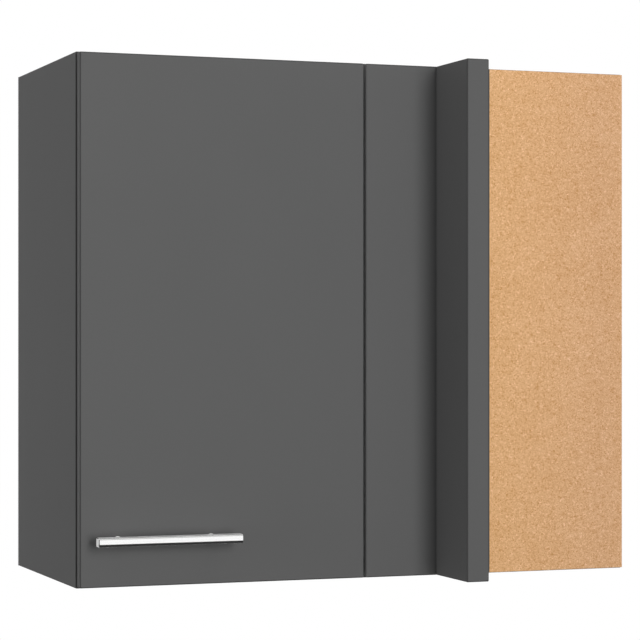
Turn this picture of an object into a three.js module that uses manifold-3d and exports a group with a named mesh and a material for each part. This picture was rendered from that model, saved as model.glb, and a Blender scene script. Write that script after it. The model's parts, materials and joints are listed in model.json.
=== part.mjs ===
// A corner wall cabinet for a fitted kitchen: a carcass with one door, a filler and return
// panel that turn the corner, and a raw blind panel where the neighbouring unit covers it.
// Millimetres. +Z is up, +X runs to the right along the wall, +Y points into the wall.
import * as THREE from "three";
import { mergeVertices } from "three/addons/utils/BufferGeometryUtils.js";
import Module from "manifold-3d";

// ---------------------------------------------------------------- driving dimensions
// Carcass. Inside the group called unit, X starts at the outer face of the left side panel,
// Y at the front edges of the carcass (the fronts have negative Y) and Z at the underside.
const CARCASS_WIDTH = 800;
const CARCASS_HEIGHT = 704;
const CARCASS_DEPTH = 330;
const BOARD = 16;
const EDGE_RADIUS = 1;
const EDGE_BEVEL = 0.7;
const PIECE_GAP = 0.3;

// Back panel in its grooves.
const BACK_THICKNESS = 3;
const BACK_INSET = 12;
const GROOVE_DEPTH = 7;
const BACK_EDGE_RADIUS = 0.5;

// Fronts.
const FRONT_REVEAL = 2;
const DOOR_THICKNESS = 16;
const DOOR_STAND_OFF = 3;
const DOOR_WIDTH = 397;
const DOOR_SIDE_REVEAL = 0.9;
const DOOR_TO_FILLER = 3.5;
const FILLER_SHOWN = 103.4;
const RETURN_THICKNESS = 32;
const RETURN_DEPTH = 105.6;
const FILLER_TAIL = 49.2;
const BLIND_THICKNESS = 13;
const BLIND_END_REVEAL = 5.3;

// Uprights inside the carcass.
const STILE_DEPTH = 80;
const STILE_OVERLAP = 5.9;
const FILLER_BATTEN_WIDTH = 40;
const JOINT_BATTEN_WIDTH = 60;

// Shelves and their pins.
const SHELF_TO_STILE = 3;
const SHELF_TO_BACK = 2;
const SHELF_END_GAP = 1;
const LOWER_SHELF_HEIGHT = 229;
const UPPER_SHELF_HEIGHT = 458;
const PIN_FROM_SHELF_EDGE = 35;
const PIN_RADIUS = 2.4;
const PIN_COLLAR_RADIUS = 4.5;
const PIN_COLLAR = 1.4;
const PIN_IN_BOARD = 8;
const PIN_OUT = 9;
const PIN_HOLE_PAST_PIN = 1;
const PIN_HOLE_PITCH = 32;
const PIN_HOLES_EACH_WAY = 1;

// Cam fittings in the top and bottom panels.
const CAM_RADIUS = 7.5;
const CAM_TO_OUTSIDE = 3.5;
const CAM_FROM_END = 34;
const CAM_FROM_EDGE = 50;
const CAM_RECESS_REACH = 3.75;
const CAM_RECESS_DEPTH = 2;

// Screw heads and their cross recesses.
const SCREW_HEAD_DEPTH = 2;
const RECESS_WIDTH = 1;
const RECESS_REACH_SHARE = 0.55;
const RECESS_DEPTH_SHARE = 0.6;

// Single-pin cup hinges.
const HINGE_FROM_DOOR_END = 100;
const CUP_RADIUS = 17.5;
const CUP_WALL = 0.8;
const CUP_TO_DOOR_FRONT = 3.3;
const CUP_TO_DOOR_EDGE = 3;
const FLANGE_LIP = 1.5;
const FLANGE_THICKNESS = 1;
const FLANGE_WING_WIDTH = 12;
const FLANGE_WING_CORNER = 4.8;
const FLANGE_WING_PAST_SCREW = 5;
const CUP_SCREW_OFFSET = 9.5;
const CUP_SCREW_REACH = 24;
const CUP_SCREW_RADIUS = 2.2;
const PIVOT_TO_CUP_WALL = 2.9;
const PIVOT_ABOVE_CUP_BOTTOM = 3.1;
const PIVOT_RADIUS = 1;
const PIVOT_CLEARANCE = 0.3;
const HUB_WALL = 1;
const ARM_WIDTH = 9;
const ARM_SHEET = 2.2;
const ARM_REACH = 14.2;
const ARM_BAR = 3;
const ARM_PAST_PLATE_FRONT = 1;
const ARM_PAST_PLATE_REAR = 2;
const ARM_UPRIGHT_END = 7;
const ARM_BEND = 1.6;
const PLATE_SPINE = 5;
const PLATE_BASE = 2;
const PLATE_SPINE_WIDTH = 14;
const PLATE_FRONT = 17;
const PLATE_LENGTH = 43;
const PLATE_WING_WIDTH = 16;
const PLATE_WING_PAST_SCREW = 8;
const PLATE_SCREW_FROM_FRONT = 20;
const PLATE_SCREW_REACH = 16;
const PLATE_SCREW_RADIUS = 2.5;
const PLATE_SCREW_LENGTH = 11;
const PLATE_SCREW_HEAD = 3.9;
const ARM_SCREW_FROM_REAR = 10;
const ARM_SCREW_RADIUS = 1.8;
const ARM_SCREW_HEAD = 4;

// Bar handle.
const HANDLE_START = 17;
const HANDLE_LENGTH = 197;
const HANDLE_SPACING = 128;
const HANDLE_HEIGHT = 61.4;
const HANDLE_PROJECTION = 35;
const BAR_DEPTH = 14;
const BAR_HEIGHT = 12.5;
const BAR_SMALL_RADIUS = 1.5;
const BAR_LOWER_RADIUS = 5;
const POST_RADIUS = 5;
const HANDLE_SCREW_RADIUS = 2;
const HANDLE_SCREW_IN_POST = 9;
const HANDLE_SCREW_HEAD = 3.6;

// Door bumpers.
const BUMPER_RADIUS = 4;
const BUMPER_SHOULDER_RADIUS = 2.8;
const BUMPER_DOME = 1.6;
const BUMPER_CAP = 0.4;
const BUMPER_FROM_END = 10;

// Wall hangers.
const HANGER_WIDTH = 17;
const HANGER_HEIGHT = 60;
const HANGER_DEPTH = 42;
const HANGER_WALL = 2;
const HOOK_WIDTH = 7;
const HOOK_BAR = 9;
const HOOK_FOOT = 6;
const HOOK_FRONT_ROOM = 8;
const HOOK_TOP_ROOM = 22;
const HOOK_LIP = 2.5;
const HOOK_LIP_DROP = 18;
const HOOK_TO_WALL = 5;
const HANGER_SCREW_RADIUS = 2.5;
const HANGER_SCREW_HEAD = 4.5;
const HEIGHT_SCREW_FROM_BOTTOM = 12.5;
const HEIGHT_SCREW_LENGTH = 27;
const BACK_WINDOW_BESIDE_HOOK = 2;
const BACK_WINDOW_ABOVE_HOOK = 20;
const BACK_WINDOW_BELOW_HOOK = 10;

// Facets.
const CORNER_FACETS = 2;
const SMALL_ROUND = 12;
const MIDDLE_ROUND = 18;
const LARGE_ROUND = 32;
const OVERCUT = 1;

// ---------------------------------------------------------------- materials
const GRAPHITE = { color: 0x5f5f5f, roughness: 0.5, metalness: 0 };
const RAW_CHIPBOARD = { color: 0xd2a878, roughness: 0.9, metalness: 0 };
const HARDBOARD = { color: 0x6a6a6a, roughness: 0.6, metalness: 0 };
const BRUSHED_STEEL = { color: 0xd8d8d8, roughness: 0.3, metalness: 1 };
const NICKEL = { color: 0xb9b9b6, roughness: 0.35, metalness: 1 };
const WHITE_PLASTIC = { color: 0xdadad6, roughness: 0.6, metalness: 0 };
const CLEAR_RUBBER = { color: 0xc9c9c4, roughness: 0.4, metalness: 0 };

// ---------------------------------------------------------------- derived places
const INNER_LEFT = BOARD;
const INNER_RIGHT = CARCASS_WIDTH - BOARD;
const INNER_BOTTOM = BOARD;
const INNER_TOP = CARCASS_HEIGHT - BOARD;
const BACK_FRONT = CARCASS_DEPTH - BACK_INSET - BACK_THICKNESS;
const BACK_REAR = CARCASS_DEPTH - BACK_INSET;
const GROOVE_Y = [BACK_FRONT - PIECE_GAP, BACK_REAR + PIECE_GAP];
const FRONT_BOTTOM = FRONT_REVEAL;
const FRONT_TOP = CARCASS_HEIGHT - FRONT_REVEAL;
const DOOR_REAR = -DOOR_STAND_OFF;
const DOOR_FRONT = DOOR_REAR - DOOR_THICKNESS;
const DOOR_LEFT = DOOR_SIDE_REVEAL;
const DOOR_RIGHT = DOOR_LEFT + DOOR_WIDTH;
const FILLER_LEFT = DOOR_RIGHT + DOOR_TO_FILLER;
const RETURN_LEFT = FILLER_LEFT + FILLER_SHOWN;
const RETURN_RIGHT = RETURN_LEFT + RETURN_THICKNESS;
const FILLER_RIGHT = RETURN_RIGHT + FILLER_TAIL;
const BLIND_LEFT = FILLER_RIGHT + PIECE_GAP;
const BLIND_RIGHT = CARCASS_WIDTH - BLIND_END_REVEAL;
const STILE_LEFT = DOOR_RIGHT - STILE_OVERLAP;
const STILE_RIGHT = STILE_LEFT + BOARD;
const SHELF_REAR = BACK_FRONT - SHELF_TO_BACK;
const SHELF_FRONT = STILE_DEPTH + SHELF_TO_STILE;
const CAM_DEPTH = BOARD - CAM_TO_OUTSIDE;
const CUP_BORE_RADIUS = CUP_RADIUS + PIECE_GAP;
const CUP_INNER_RADIUS = CUP_RADIUS - CUP_WALL;
const CUP_X = DOOR_RIGHT - CUP_TO_DOOR_EDGE - CUP_BORE_RADIUS;
const CUP_BOTTOM = DOOR_FRONT + CUP_TO_DOOR_FRONT;
const PIVOT_X = CUP_X + CUP_INNER_RADIUS - PIVOT_TO_CUP_WALL;
const PIVOT_Y = CUP_BOTTOM + PIVOT_ABOVE_CUP_BOTTOM;
const PLATE_FACE = STILE_LEFT - PLATE_BASE - PLATE_SPINE;
const PLATE_REAR = PLATE_FRONT + PLATE_LENGTH;
const PLATE_SCREW_BACK = PLATE_FRONT + PLATE_SCREW_FROM_FRONT;
const ARM_FACE = PLATE_FACE - ARM_BAR;
const ARM_BAR_FRONT = PLATE_FRONT - ARM_PAST_PLATE_FRONT;
const ARM_BAR_REAR = PLATE_REAR + ARM_PAST_PLATE_REAR;
const ARM_SCREW_BACK = PLATE_REAR - ARM_SCREW_FROM_REAR;
const HINGE_HEIGHTS = {
  lower: FRONT_BOTTOM + HINGE_FROM_DOOR_END,
  upper: FRONT_TOP - HINGE_FROM_DOOR_END,
};
const BAR_FRONT = DOOR_FRONT - HANDLE_PROJECTION;
const BAR_REAR = BAR_FRONT + BAR_DEPTH;
const BAR_MIDDLE = FRONT_BOTTOM + HANDLE_HEIGHT;
const POST_PLACES = {
  left: HANDLE_START + (HANDLE_LENGTH - HANDLE_SPACING) / 2,
  right: HANDLE_START + (HANDLE_LENGTH + HANDLE_SPACING) / 2,
};
const SHELF_HEIGHTS = { lower: LOWER_SHELF_HEIGHT, upper: UPPER_SHELF_HEIGHT };
const PIN_DEPTHS = {
  front: SHELF_FRONT + PIN_FROM_SHELF_EDGE,
  rear: SHELF_REAR - PIN_FROM_SHELF_EDGE,
};
const HANGER_LEFT_EDGES = { left: INNER_LEFT, right: INNER_RIGHT - HANGER_WIDTH };
const HANGER_REAR = BACK_FRONT - PIECE_GAP;
const HANGER_FRONT = HANGER_REAR - HANGER_DEPTH;
const HOOK_FRONT = HANGER_FRONT + HANGER_WALL + HOOK_FRONT_ROOM;
const HOOK_TOP = INNER_TOP - HANGER_WALL - HOOK_TOP_ROOM;
const HOOK_LIP_BOTTOM = HOOK_TOP - HOOK_LIP_DROP;
const HANGER_BOTTOM = INNER_TOP - HANGER_HEIGHT;
const HEIGHT_SCREW_Z = HANGER_BOTTOM + HEIGHT_SCREW_FROM_BOTTOM;

// ---------------------------------------------------------------- solids
const wasm = await Module();
wasm.setup();

// A closed three.js geometry as a solid that can be joined and cut.
function solid(geometry) {
  const bare = geometry.clone();
  bare.deleteAttribute("normal");
  bare.deleteAttribute("uv");
  const merged = mergeVertices(bare, 1e-4);
  return new wasm.Manifold(
    new wasm.Mesh({
      numProp: 3,
      vertProperties: new Float32Array(merged.attributes.position.array),
      triVerts: new Uint32Array(merged.index.array),
    }),
  );
}

// The solid's surface as a three.js geometry with flat facets.
function surface(body) {
  const mesh = body.getMesh();
  const indexed = new THREE.BufferGeometry();
  indexed.setAttribute("position", new THREE.BufferAttribute(mesh.vertProperties, 3));
  indexed.setIndex(new THREE.BufferAttribute(mesh.triVerts, 1));
  const flat = indexed.toNonIndexed();
  flat.computeVertexNormals();
  return flat;
}

// A named mesh of one piece, with a material of its own, at a place in its group.
function piece(name, geometry, look, place = [0, 0, 0]) {
  const mesh = new THREE.Mesh(geometry, new THREE.MeshStandardMaterial(look));
  mesh.name = name;
  mesh.position.set(...place);
  return mesh;
}

// A rectangle with round corners, centred on the origin.
function roundRectangle(width, height, radius) {
  const shape = new THREE.Shape();
  const x = width / 2 - radius;
  const y = height / 2 - radius;
  shape.absarc(x, y, radius, 0, Math.PI / 2);
  shape.absarc(-x, y, radius, Math.PI / 2, Math.PI);
  shape.absarc(-x, -y, radius, Math.PI, Math.PI * 1.5);
  shape.absarc(x, -y, radius, Math.PI * 1.5, Math.PI * 2);
  return shape;
}

// A board's block with all its edges eased, centred on the origin.
function easedBlock(width, depth, height, radius, bevel) {
  const block = new THREE.ExtrudeGeometry(roundRectangle(width, depth, radius), {
    depth: height - 2 * bevel,
    curveSegments: CORNER_FACETS,
    bevelEnabled: true,
    bevelThickness: bevel,
    bevelSize: bevel,
    bevelOffset: -bevel,
    bevelSegments: 1,
  });
  return block.translate(0, 0, bevel - height / 2);
}

// A plain box between two values on each axis.
function box([x0, x1], [y0, y1], [z0, z1]) {
  const geometry = new THREE.BoxGeometry(x1 - x0, y1 - y0, z1 - z0);
  return geometry.translate((x0 + x1) / 2, (y0 + y1) / 2, (z0 + z1) / 2);
}

// A cylinder along one axis, between two values on that axis, round the point at. The value
// that at holds for the axis itself isn't used.
function rod(axis, radius, [from, to], at, facets) {
  const geometry = new THREE.CylinderGeometry(radius, radius, to - from, facets);
  const place = { x: at[0], y: at[1], z: at[2] };
  place[axis] = (from + to) / 2;
  if (axis === "x") geometry.rotateZ(Math.PI / 2);
  if (axis === "z") geometry.rotateX(Math.PI / 2);
  return geometry.translate(place.x, place.y, place.z);
}

// An outline drawn in the plane of Y and Z, extruded along X from 0.
function extrudeAlongX(shape, length, facets) {
  const geometry = new THREE.ExtrudeGeometry(shape, {
    depth: length,
    curveSegments: facets,
    bevelEnabled: false,
  });
  const turn = new THREE.Matrix4().makeBasis(
    new THREE.Vector3(0, 1, 0),
    new THREE.Vector3(0, 0, 1),
    new THREE.Vector3(1, 0, 0),
  );
  return geometry.applyMatrix4(turn);
}

// The same solid with each of the given geometries taken out of it.
function cutAway(body, cuts) {
  return cuts.reduce((left, cut) => left.subtract(solid(cut)), body);
}

// A board between two values on each axis of its group. Cuts are given in the same axes.
function board(name, look, x, y, z, cuts = [], radius = EDGE_RADIUS, bevel = EDGE_BEVEL) {
  const centre = [(x[0] + x[1]) / 2, (y[0] + y[1]) / 2, (z[0] + z[1]) / 2];
  const back = centre.map((value) => -value);
  const block = easedBlock(x[1] - x[0], y[1] - y[0], z[1] - z[0], radius, bevel);
  const moved = cuts.map((cut) => cut.translate(...back));
  return piece(name, surface(cutAway(solid(block), moved)), look, centre);
}

// Two values in rising order.
function rising(first, second) {
  return [Math.min(first, second), Math.max(first, second)];
}

// A cross recess for a screwdriver, sunk into the face at the value face on one axis. The
// sign of depth says which way it goes in.
function crossRecess(axis, face, at, reach, depth) {
  const axes = ["x", "y", "z"];
  const along = rising(face - Math.sign(depth) * OVERCUT, face + depth);
  const slot = (long) => axes.map((name, index) => {
    const half = name === long ? reach : RECESS_WIDTH / 2;
    return name === axis ? along : [at[index] - half, at[index] + half];
  });
  return axes.filter((name) => name !== axis).map((long) => box(...slot(long)));
}

// A screw along one axis: a head from the value face outwards, a shank the other way, and a
// cross recess in the head. The sign way is +1 where the shank points to larger values.
function screw(name, axis, way, face, at, head, shank) {
  const outer = face - way * head.depth;
  const shankSpan = rising(face - way * head.depth / 2, face + way * shank.length);
  const body = solid(rod(axis, head.radius, rising(outer, face), at, MIDDLE_ROUND))
    .add(solid(rod(axis, shank.radius, shankSpan, at, SMALL_ROUND)));
  const reach = head.radius * RECESS_REACH_SHARE;
  const recess = crossRecess(axis, outer, at, reach, way * head.depth * RECESS_DEPTH_SHARE);
  return piece(name, surface(cutAway(body, recess)), NICKEL);
}

// ---------------------------------------------------------------- carcass boards
// The hole that a shelf pin fits, in a side panel's inner face. The sign side is -1 on the left.
function pinHole(side, y, z) {
  const face = side < 0 ? INNER_LEFT : INNER_RIGHT;
  const span = rising(face + side * (PIN_IN_BOARD + PIN_HOLE_PAST_PIN), face - side * OVERCUT);
  return rod("x", PIN_RADIUS + PIECE_GAP, span, [0, y, z], SMALL_ROUND);
}

// Each shelf has a pin hole at its own height and others above and below it, front and rear.
function pinHoles(side) {
  const holes = [];
  for (const height of Object.values(SHELF_HEIGHTS)) {
    for (let step = -PIN_HOLES_EACH_WAY; step <= PIN_HOLES_EACH_WAY; step += 1) {
      for (const depth of Object.values(PIN_DEPTHS)) {
        holes.push(pinHole(side, depth, pinHeight(height) + step * PIN_HOLE_PITCH));
      }
    }
  }
  return holes;
}

// The height of a pin's axis under a shelf.
function pinHeight(shelfBottom) {
  return shelfBottom - PIECE_GAP / 2 - PIN_RADIUS;
}

// The groove for the back panel in a side panel.
function sideGroove(side) {
  const face = side < 0 ? INNER_LEFT : INNER_RIGHT;
  const x = rising(face + side * GROOVE_DEPTH, face - side * OVERCUT);
  return box(x, GROOVE_Y, [-OVERCUT, CARCASS_HEIGHT + OVERCUT]);
}

function sidePanel(name, side) {
  const x = side < 0 ? [0, INNER_LEFT] : [INNER_RIGHT, CARCASS_WIDTH];
  const cuts = [sideGroove(side), ...pinHoles(side)];
  return board(name, GRAPHITE, x, [0, CARCASS_DEPTH], [0, CARCASS_HEIGHT], cuts);
}

// The four places of the cam fittings in the top or bottom panel, by name.
function camPlaces() {
  const columns = { left: INNER_LEFT + CAM_FROM_END, right: INNER_RIGHT - CAM_FROM_END };
  const rows = { front: CAM_FROM_EDGE, rear: CARCASS_DEPTH - CAM_FROM_EDGE };
  const places = {};
  for (const [column, x] of Object.entries(columns)) {
    for (const [row, y] of Object.entries(rows)) places[`${column}_${row}`] = [x, y, 0];
  }
  return places;
}

// The top or bottom panel, with the groove and the cam pockets in its inner face. The sign
// side is -1 on the bottom panel.
function levelPanel(name, side) {
  const face = side < 0 ? INNER_BOTTOM : INNER_TOP;
  const z = side < 0 ? [0, INNER_BOTTOM] : [INNER_TOP, CARCASS_HEIGHT];
  const grooveZ = rising(face + side * GROOVE_DEPTH, face - side * OVERCUT);
  const groove = box([INNER_LEFT - OVERCUT, INNER_RIGHT + OVERCUT], GROOVE_Y, grooveZ);
  const pocketZ = rising(face + side * (CAM_DEPTH + PIECE_GAP), face - side * OVERCUT);
  const pockets = Object.values(camPlaces()).map((at) =>
    rod("z", CAM_RADIUS + PIECE_GAP, pocketZ, at, MIDDLE_ROUND));
  return board(name, GRAPHITE, [INNER_LEFT, INNER_RIGHT], [0, CARCASS_DEPTH], z, [groove, ...pockets]);
}

// A cam fitting: a disc flush with the panel's inner face, with a cross recess.
function camFitting(name, side, at) {
  const face = side < 0 ? INNER_BOTTOM : INNER_TOP;
  const span = rising(face + side * CAM_DEPTH, face);
  const disc = solid(rod("z", CAM_RADIUS, span, at, MIDDLE_ROUND));
  const recess = crossRecess("z", face, at, CAM_RECESS_REACH, side * CAM_RECESS_DEPTH);
  return piece(name, surface(cutAway(disc, recess)), NICKEL);
}

// The thin back panel, with a window behind each hanger for its hook.
function backPanel() {
  const play = PIECE_GAP;
  const x = [INNER_LEFT - GROOVE_DEPTH + play, INNER_RIGHT + GROOVE_DEPTH - play];
  const z = [INNER_BOTTOM - GROOVE_DEPTH + play, INNER_TOP + GROOVE_DEPTH - play];
  const half = HOOK_WIDTH / 2 + BACK_WINDOW_BESIDE_HOOK;
  const windows = Object.values(HANGER_LEFT_EDGES).map((left) => box(
    [left + HANGER_WIDTH / 2 - half, left + HANGER_WIDTH / 2 + half],
    [BACK_FRONT - OVERCUT, BACK_REAR + OVERCUT],
    [HOOK_LIP_BOTTOM - BACK_WINDOW_BELOW_HOOK, HOOK_TOP + BACK_WINDOW_ABOVE_HOOK],
  ));
  const bevel = BACK_EDGE_RADIUS * EDGE_BEVEL;
  return board("back_panel", HARDBOARD, x, [BACK_FRONT, BACK_REAR], z, windows, BACK_EDGE_RADIUS, bevel);
}

// The upright that carries the hinges, with the holes for the plate screws.
function hingeStile() {
  const holes = [];
  for (const height of Object.values(HINGE_HEIGHTS)) {
    for (const reach of [-PLATE_SCREW_REACH, PLATE_SCREW_REACH]) {
      const span = [STILE_LEFT - OVERCUT, STILE_LEFT + PLATE_SCREW_LENGTH + PIECE_GAP];
      const at = [0, PLATE_SCREW_BACK, height + reach];
      holes.push(rod("x", PLATE_SCREW_RADIUS + PIECE_GAP, span, at, SMALL_ROUND));
    }
  }
  const z = [INNER_BOTTOM, INNER_TOP];
  return board("hinge_stile", GRAPHITE, [STILE_LEFT, STILE_RIGHT], [0, STILE_DEPTH], z, holes);
}

// A flat upright behind the fixed fronts, which are screwed to it from inside.
function batten(name, left, width) {
  return board(name, GRAPHITE, [left, left + width], [0, BOARD], [INNER_BOTTOM, INNER_TOP]);
}

function shelf(name, height) {
  const x = [INNER_LEFT + SHELF_END_GAP, INNER_RIGHT - SHELF_END_GAP];
  return board(name, GRAPHITE, x, [SHELF_FRONT, SHELF_REAR], [height, height + BOARD]);
}

// A shelf pin: a stem in the side panel, a collar on its face and a peg under the shelf.
function shelfPin(name, side, y, z) {
  const face = side < 0 ? INNER_LEFT : INNER_RIGHT;
  const span = (from, to) => rising(face + side * from, face + side * to);
  const stem = rod("x", PIN_RADIUS, span(PIN_IN_BOARD, -PIN_OUT), [0, y, z], SMALL_ROUND);
  const collar = rod("x", PIN_COLLAR_RADIUS, span(0, -PIN_COLLAR), [0, y, z], SMALL_ROUND);
  const shelfSpace = box(
    span(-SHELF_END_GAP, -PIN_OUT),
    [y - PIN_COLLAR_RADIUS, y + PIN_COLLAR_RADIUS],
    [z + PIN_RADIUS, z + PIN_COLLAR_RADIUS + OVERCUT],
  );
  return piece(name, surface(cutAway(solid(stem).add(solid(collar)), [shelfSpace])), NICKEL);
}

// ---------------------------------------------------------------- fronts
function doorPanel() {
  const cuts = [];
  for (const height of Object.values(HINGE_HEIGHTS)) {
    const span = [CUP_BOTTOM - PIECE_GAP, DOOR_REAR + OVERCUT];
    cuts.push(rod("y", CUP_BORE_RADIUS, span, [CUP_X, 0, height], LARGE_ROUND));
  }
  for (const x of Object.values(POST_PLACES)) {
    const span = [DOOR_FRONT - OVERCUT, DOOR_REAR + OVERCUT];
    cuts.push(rod("y", HANDLE_SCREW_RADIUS + PIECE_GAP, span, [x, 0, BAR_MIDDLE], SMALL_ROUND));
  }
  const z = [FRONT_BOTTOM, FRONT_TOP];
  return board("door_panel", GRAPHITE, [DOOR_LEFT, DOOR_RIGHT], [DOOR_FRONT, DOOR_REAR], z, cuts);
}

// The fixed fronts: the filler beside the door, the return that stands out from it, and the
// raw blind panel beyond them.
function fixedFronts() {
  const z = [FRONT_BOTTOM, FRONT_TOP];
  const returnY = [DOOR_FRONT - RETURN_DEPTH, DOOR_FRONT];
  return [
    board("filler_panel", GRAPHITE, [FILLER_LEFT, FILLER_RIGHT], [DOOR_FRONT, 0], z),
    board("return_panel", GRAPHITE, [RETURN_LEFT, RETURN_RIGHT], returnY, z),
    board("blind_panel", RAW_CHIPBOARD, [BLIND_LEFT, BLIND_RIGHT], [-BLIND_THICKNESS, 0], z),
  ];
}

// ---------------------------------------------------------------- handle and bumpers
// The bar's section in the plane of Y and Z: a block whose lower front edge is well rounded.
function barSection() {
  const shape = new THREE.Shape();
  const small = BAR_SMALL_RADIUS;
  const large = BAR_LOWER_RADIUS;
  const top = BAR_HEIGHT / 2;
  shape.absarc(BAR_DEPTH - small, top - small, small, 0, Math.PI / 2);
  shape.absarc(small, top - small, small, Math.PI / 2, Math.PI);
  shape.absarc(large, large - top, large, Math.PI, Math.PI * 1.5);
  shape.absarc(BAR_DEPTH - small, small - top, small, Math.PI * 1.5, Math.PI * 2);
  return shape;
}

function handleBar() {
  const bar = extrudeAlongX(barSection(), HANDLE_LENGTH, CORNER_FACETS + 1);
  return piece("handle_bar", bar, BRUSHED_STEEL, [HANDLE_START, BAR_FRONT, BAR_MIDDLE]);
}

function handlePost(name, x) {
  const at = [x, 0, BAR_MIDDLE];
  const post = solid(rod("y", POST_RADIUS, [BAR_REAR, DOOR_FRONT], at, MIDDLE_ROUND));
  const tapped = [DOOR_FRONT - HANDLE_SCREW_IN_POST - PIECE_GAP, DOOR_FRONT + OVERCUT];
  const hole = rod("y", HANDLE_SCREW_RADIUS + PIECE_GAP, tapped, at, SMALL_ROUND);
  return piece(name, surface(cutAway(post, [hole])), BRUSHED_STEEL);
}

function handleScrew(name, x) {
  const head = { radius: HANDLE_SCREW_HEAD, depth: SCREW_HEAD_DEPTH };
  const shank = { radius: HANDLE_SCREW_RADIUS, length: DOOR_THICKNESS + HANDLE_SCREW_IN_POST };
  return screw(name, "y", -1, DOOR_REAR, [x, 0, BAR_MIDDLE], head, shank);
}

// A soft bumper on the door's rear face, over the front edge of the left side panel.
function bumper(name, z) {
  const height = DOOR_STAND_OFF - PIECE_GAP;
  const dome = new THREE.LatheGeometry([
    new THREE.Vector2(0, 0),
    new THREE.Vector2(BUMPER_RADIUS, 0),
    new THREE.Vector2(BUMPER_RADIUS, height - BUMPER_DOME),
    new THREE.Vector2(BUMPER_SHOULDER_RADIUS, height - BUMPER_CAP),
    new THREE.Vector2(0, height),
  ], SMALL_ROUND);
  return piece(name, dome, CLEAR_RUBBER, [BOARD / 2, DOOR_REAR, z]);
}

// ---------------------------------------------------------------- hinges
// The cup in the door: a round bowl with a flange on the door's rear face and two wings for
// its screws. Its group stands at the hinge's height.
function hingeCup(name) {
  const at = [CUP_X, 0, 0];
  const flangeSpan = [DOOR_REAR, DOOR_REAR + FLANGE_THICKNESS];
  const wing = easedWing().translate(CUP_X - CUP_SCREW_OFFSET, DOOR_REAR, 0);
  const body = solid(rod("y", CUP_RADIUS, [CUP_BOTTOM, flangeSpan[1]], at, LARGE_ROUND))
    .add(solid(rod("y", CUP_RADIUS + FLANGE_LIP, flangeSpan, at, LARGE_ROUND)))
    .add(solid(wing));
  const inside = [CUP_BOTTOM + CUP_WALL, flangeSpan[1] + OVERCUT];
  const cuts = [rod("y", CUP_INNER_RADIUS, inside, at, LARGE_ROUND)];
  for (const reach of [-CUP_SCREW_REACH, CUP_SCREW_REACH]) {
    const span = [flangeSpan[0] - OVERCUT, flangeSpan[1] + OVERCUT];
    cuts.push(rod("y", CUP_SCREW_RADIUS, span, [CUP_X - CUP_SCREW_OFFSET, 0, reach], SMALL_ROUND));
  }
  return piece(name, surface(cutAway(body, cuts)), NICKEL);
}

// The flat strip that makes the cup's two wings, with round ends, in the plane of X and Z.
function easedWing() {
  const length = 2 * (CUP_SCREW_REACH + FLANGE_WING_PAST_SCREW);
  const outline = roundRectangle(FLANGE_WING_WIDTH, length, FLANGE_WING_CORNER);
  const strip = new THREE.ExtrudeGeometry(outline, {
    depth: FLANGE_THICKNESS,
    curveSegments: CORNER_FACETS + 1,
    bevelEnabled: false,
  });
  return strip.rotateX(Math.PI / 2).translate(0, FLANGE_THICKNESS, 0);
}

// The pin that the door turns on. Its ends sit in the wall of the cup.
function hingePin(name) {
  const outerSide = PIVOT_X - CUP_X + PIVOT_RADIUS;
  const half = Math.sqrt(CUP_INNER_RADIUS ** 2 - outerSide ** 2) - PIECE_GAP;
  const pin = rod("z", PIVOT_RADIUS, [-half, half], [PIVOT_X, PIVOT_Y, 0], SMALL_ROUND);
  return piece(name, pin, NICKEL);
}

// The arm's outline seen from above: from the pivot across the cup, back out of the cup and
// over to the mounting plate. The way round the door's edge leaves room for the door to turn.
function armOutline() {
  const half = ARM_SHEET / 2;
  const outerX = PIVOT_X - ARM_REACH - half;
  const innerX = PIVOT_X - ARM_REACH + half;
  const low = PIVOT_Y - half;
  const high = PIVOT_Y + half;
  const shape = new THREE.Shape();
  shape.moveTo(PIVOT_X, low);
  shape.lineTo(outerX + ARM_BEND, low);
  shape.lineTo(outerX, low + ARM_BEND);
  shape.lineTo(outerX, ARM_UPRIGHT_END);
  shape.lineTo(ARM_FACE, ARM_BAR_FRONT);
  shape.lineTo(ARM_FACE, ARM_BAR_REAR);
  shape.lineTo(PLATE_FACE, ARM_BAR_REAR);
  shape.lineTo(PLATE_FACE, ARM_BAR_FRONT);
  shape.lineTo(innerX, ARM_UPRIGHT_END - half);
  shape.lineTo(innerX, high);
  shape.lineTo(PIVOT_X, high);
  shape.closePath();
  return shape;
}

function hingeArm(name) {
  const half = ARM_WIDTH / 2;
  const sheet = new THREE.ExtrudeGeometry(armOutline(), { depth: ARM_WIDTH, bevelEnabled: false });
  const hubRadius = PIVOT_RADIUS + HUB_WALL;
  const hub = rod("z", hubRadius, [-half, half], [PIVOT_X, PIVOT_Y, 0], MIDDLE_ROUND);
  const body = solid(sheet.translate(0, 0, -half)).add(solid(hub));
  const pinRoom = rod("z", PIVOT_RADIUS + PIVOT_CLEARANCE, [-half - OVERCUT, half + OVERCUT],
    [PIVOT_X, PIVOT_Y, 0], SMALL_ROUND);
  const screwRoom = rod("x", ARM_SCREW_RADIUS + PIECE_GAP, [ARM_FACE - OVERCUT, PLATE_FACE + OVERCUT],
    [0, ARM_SCREW_BACK, 0], SMALL_ROUND);
  return piece(name, surface(cutAway(body, [pinRoom, screwRoom])), NICKEL);
}

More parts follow.
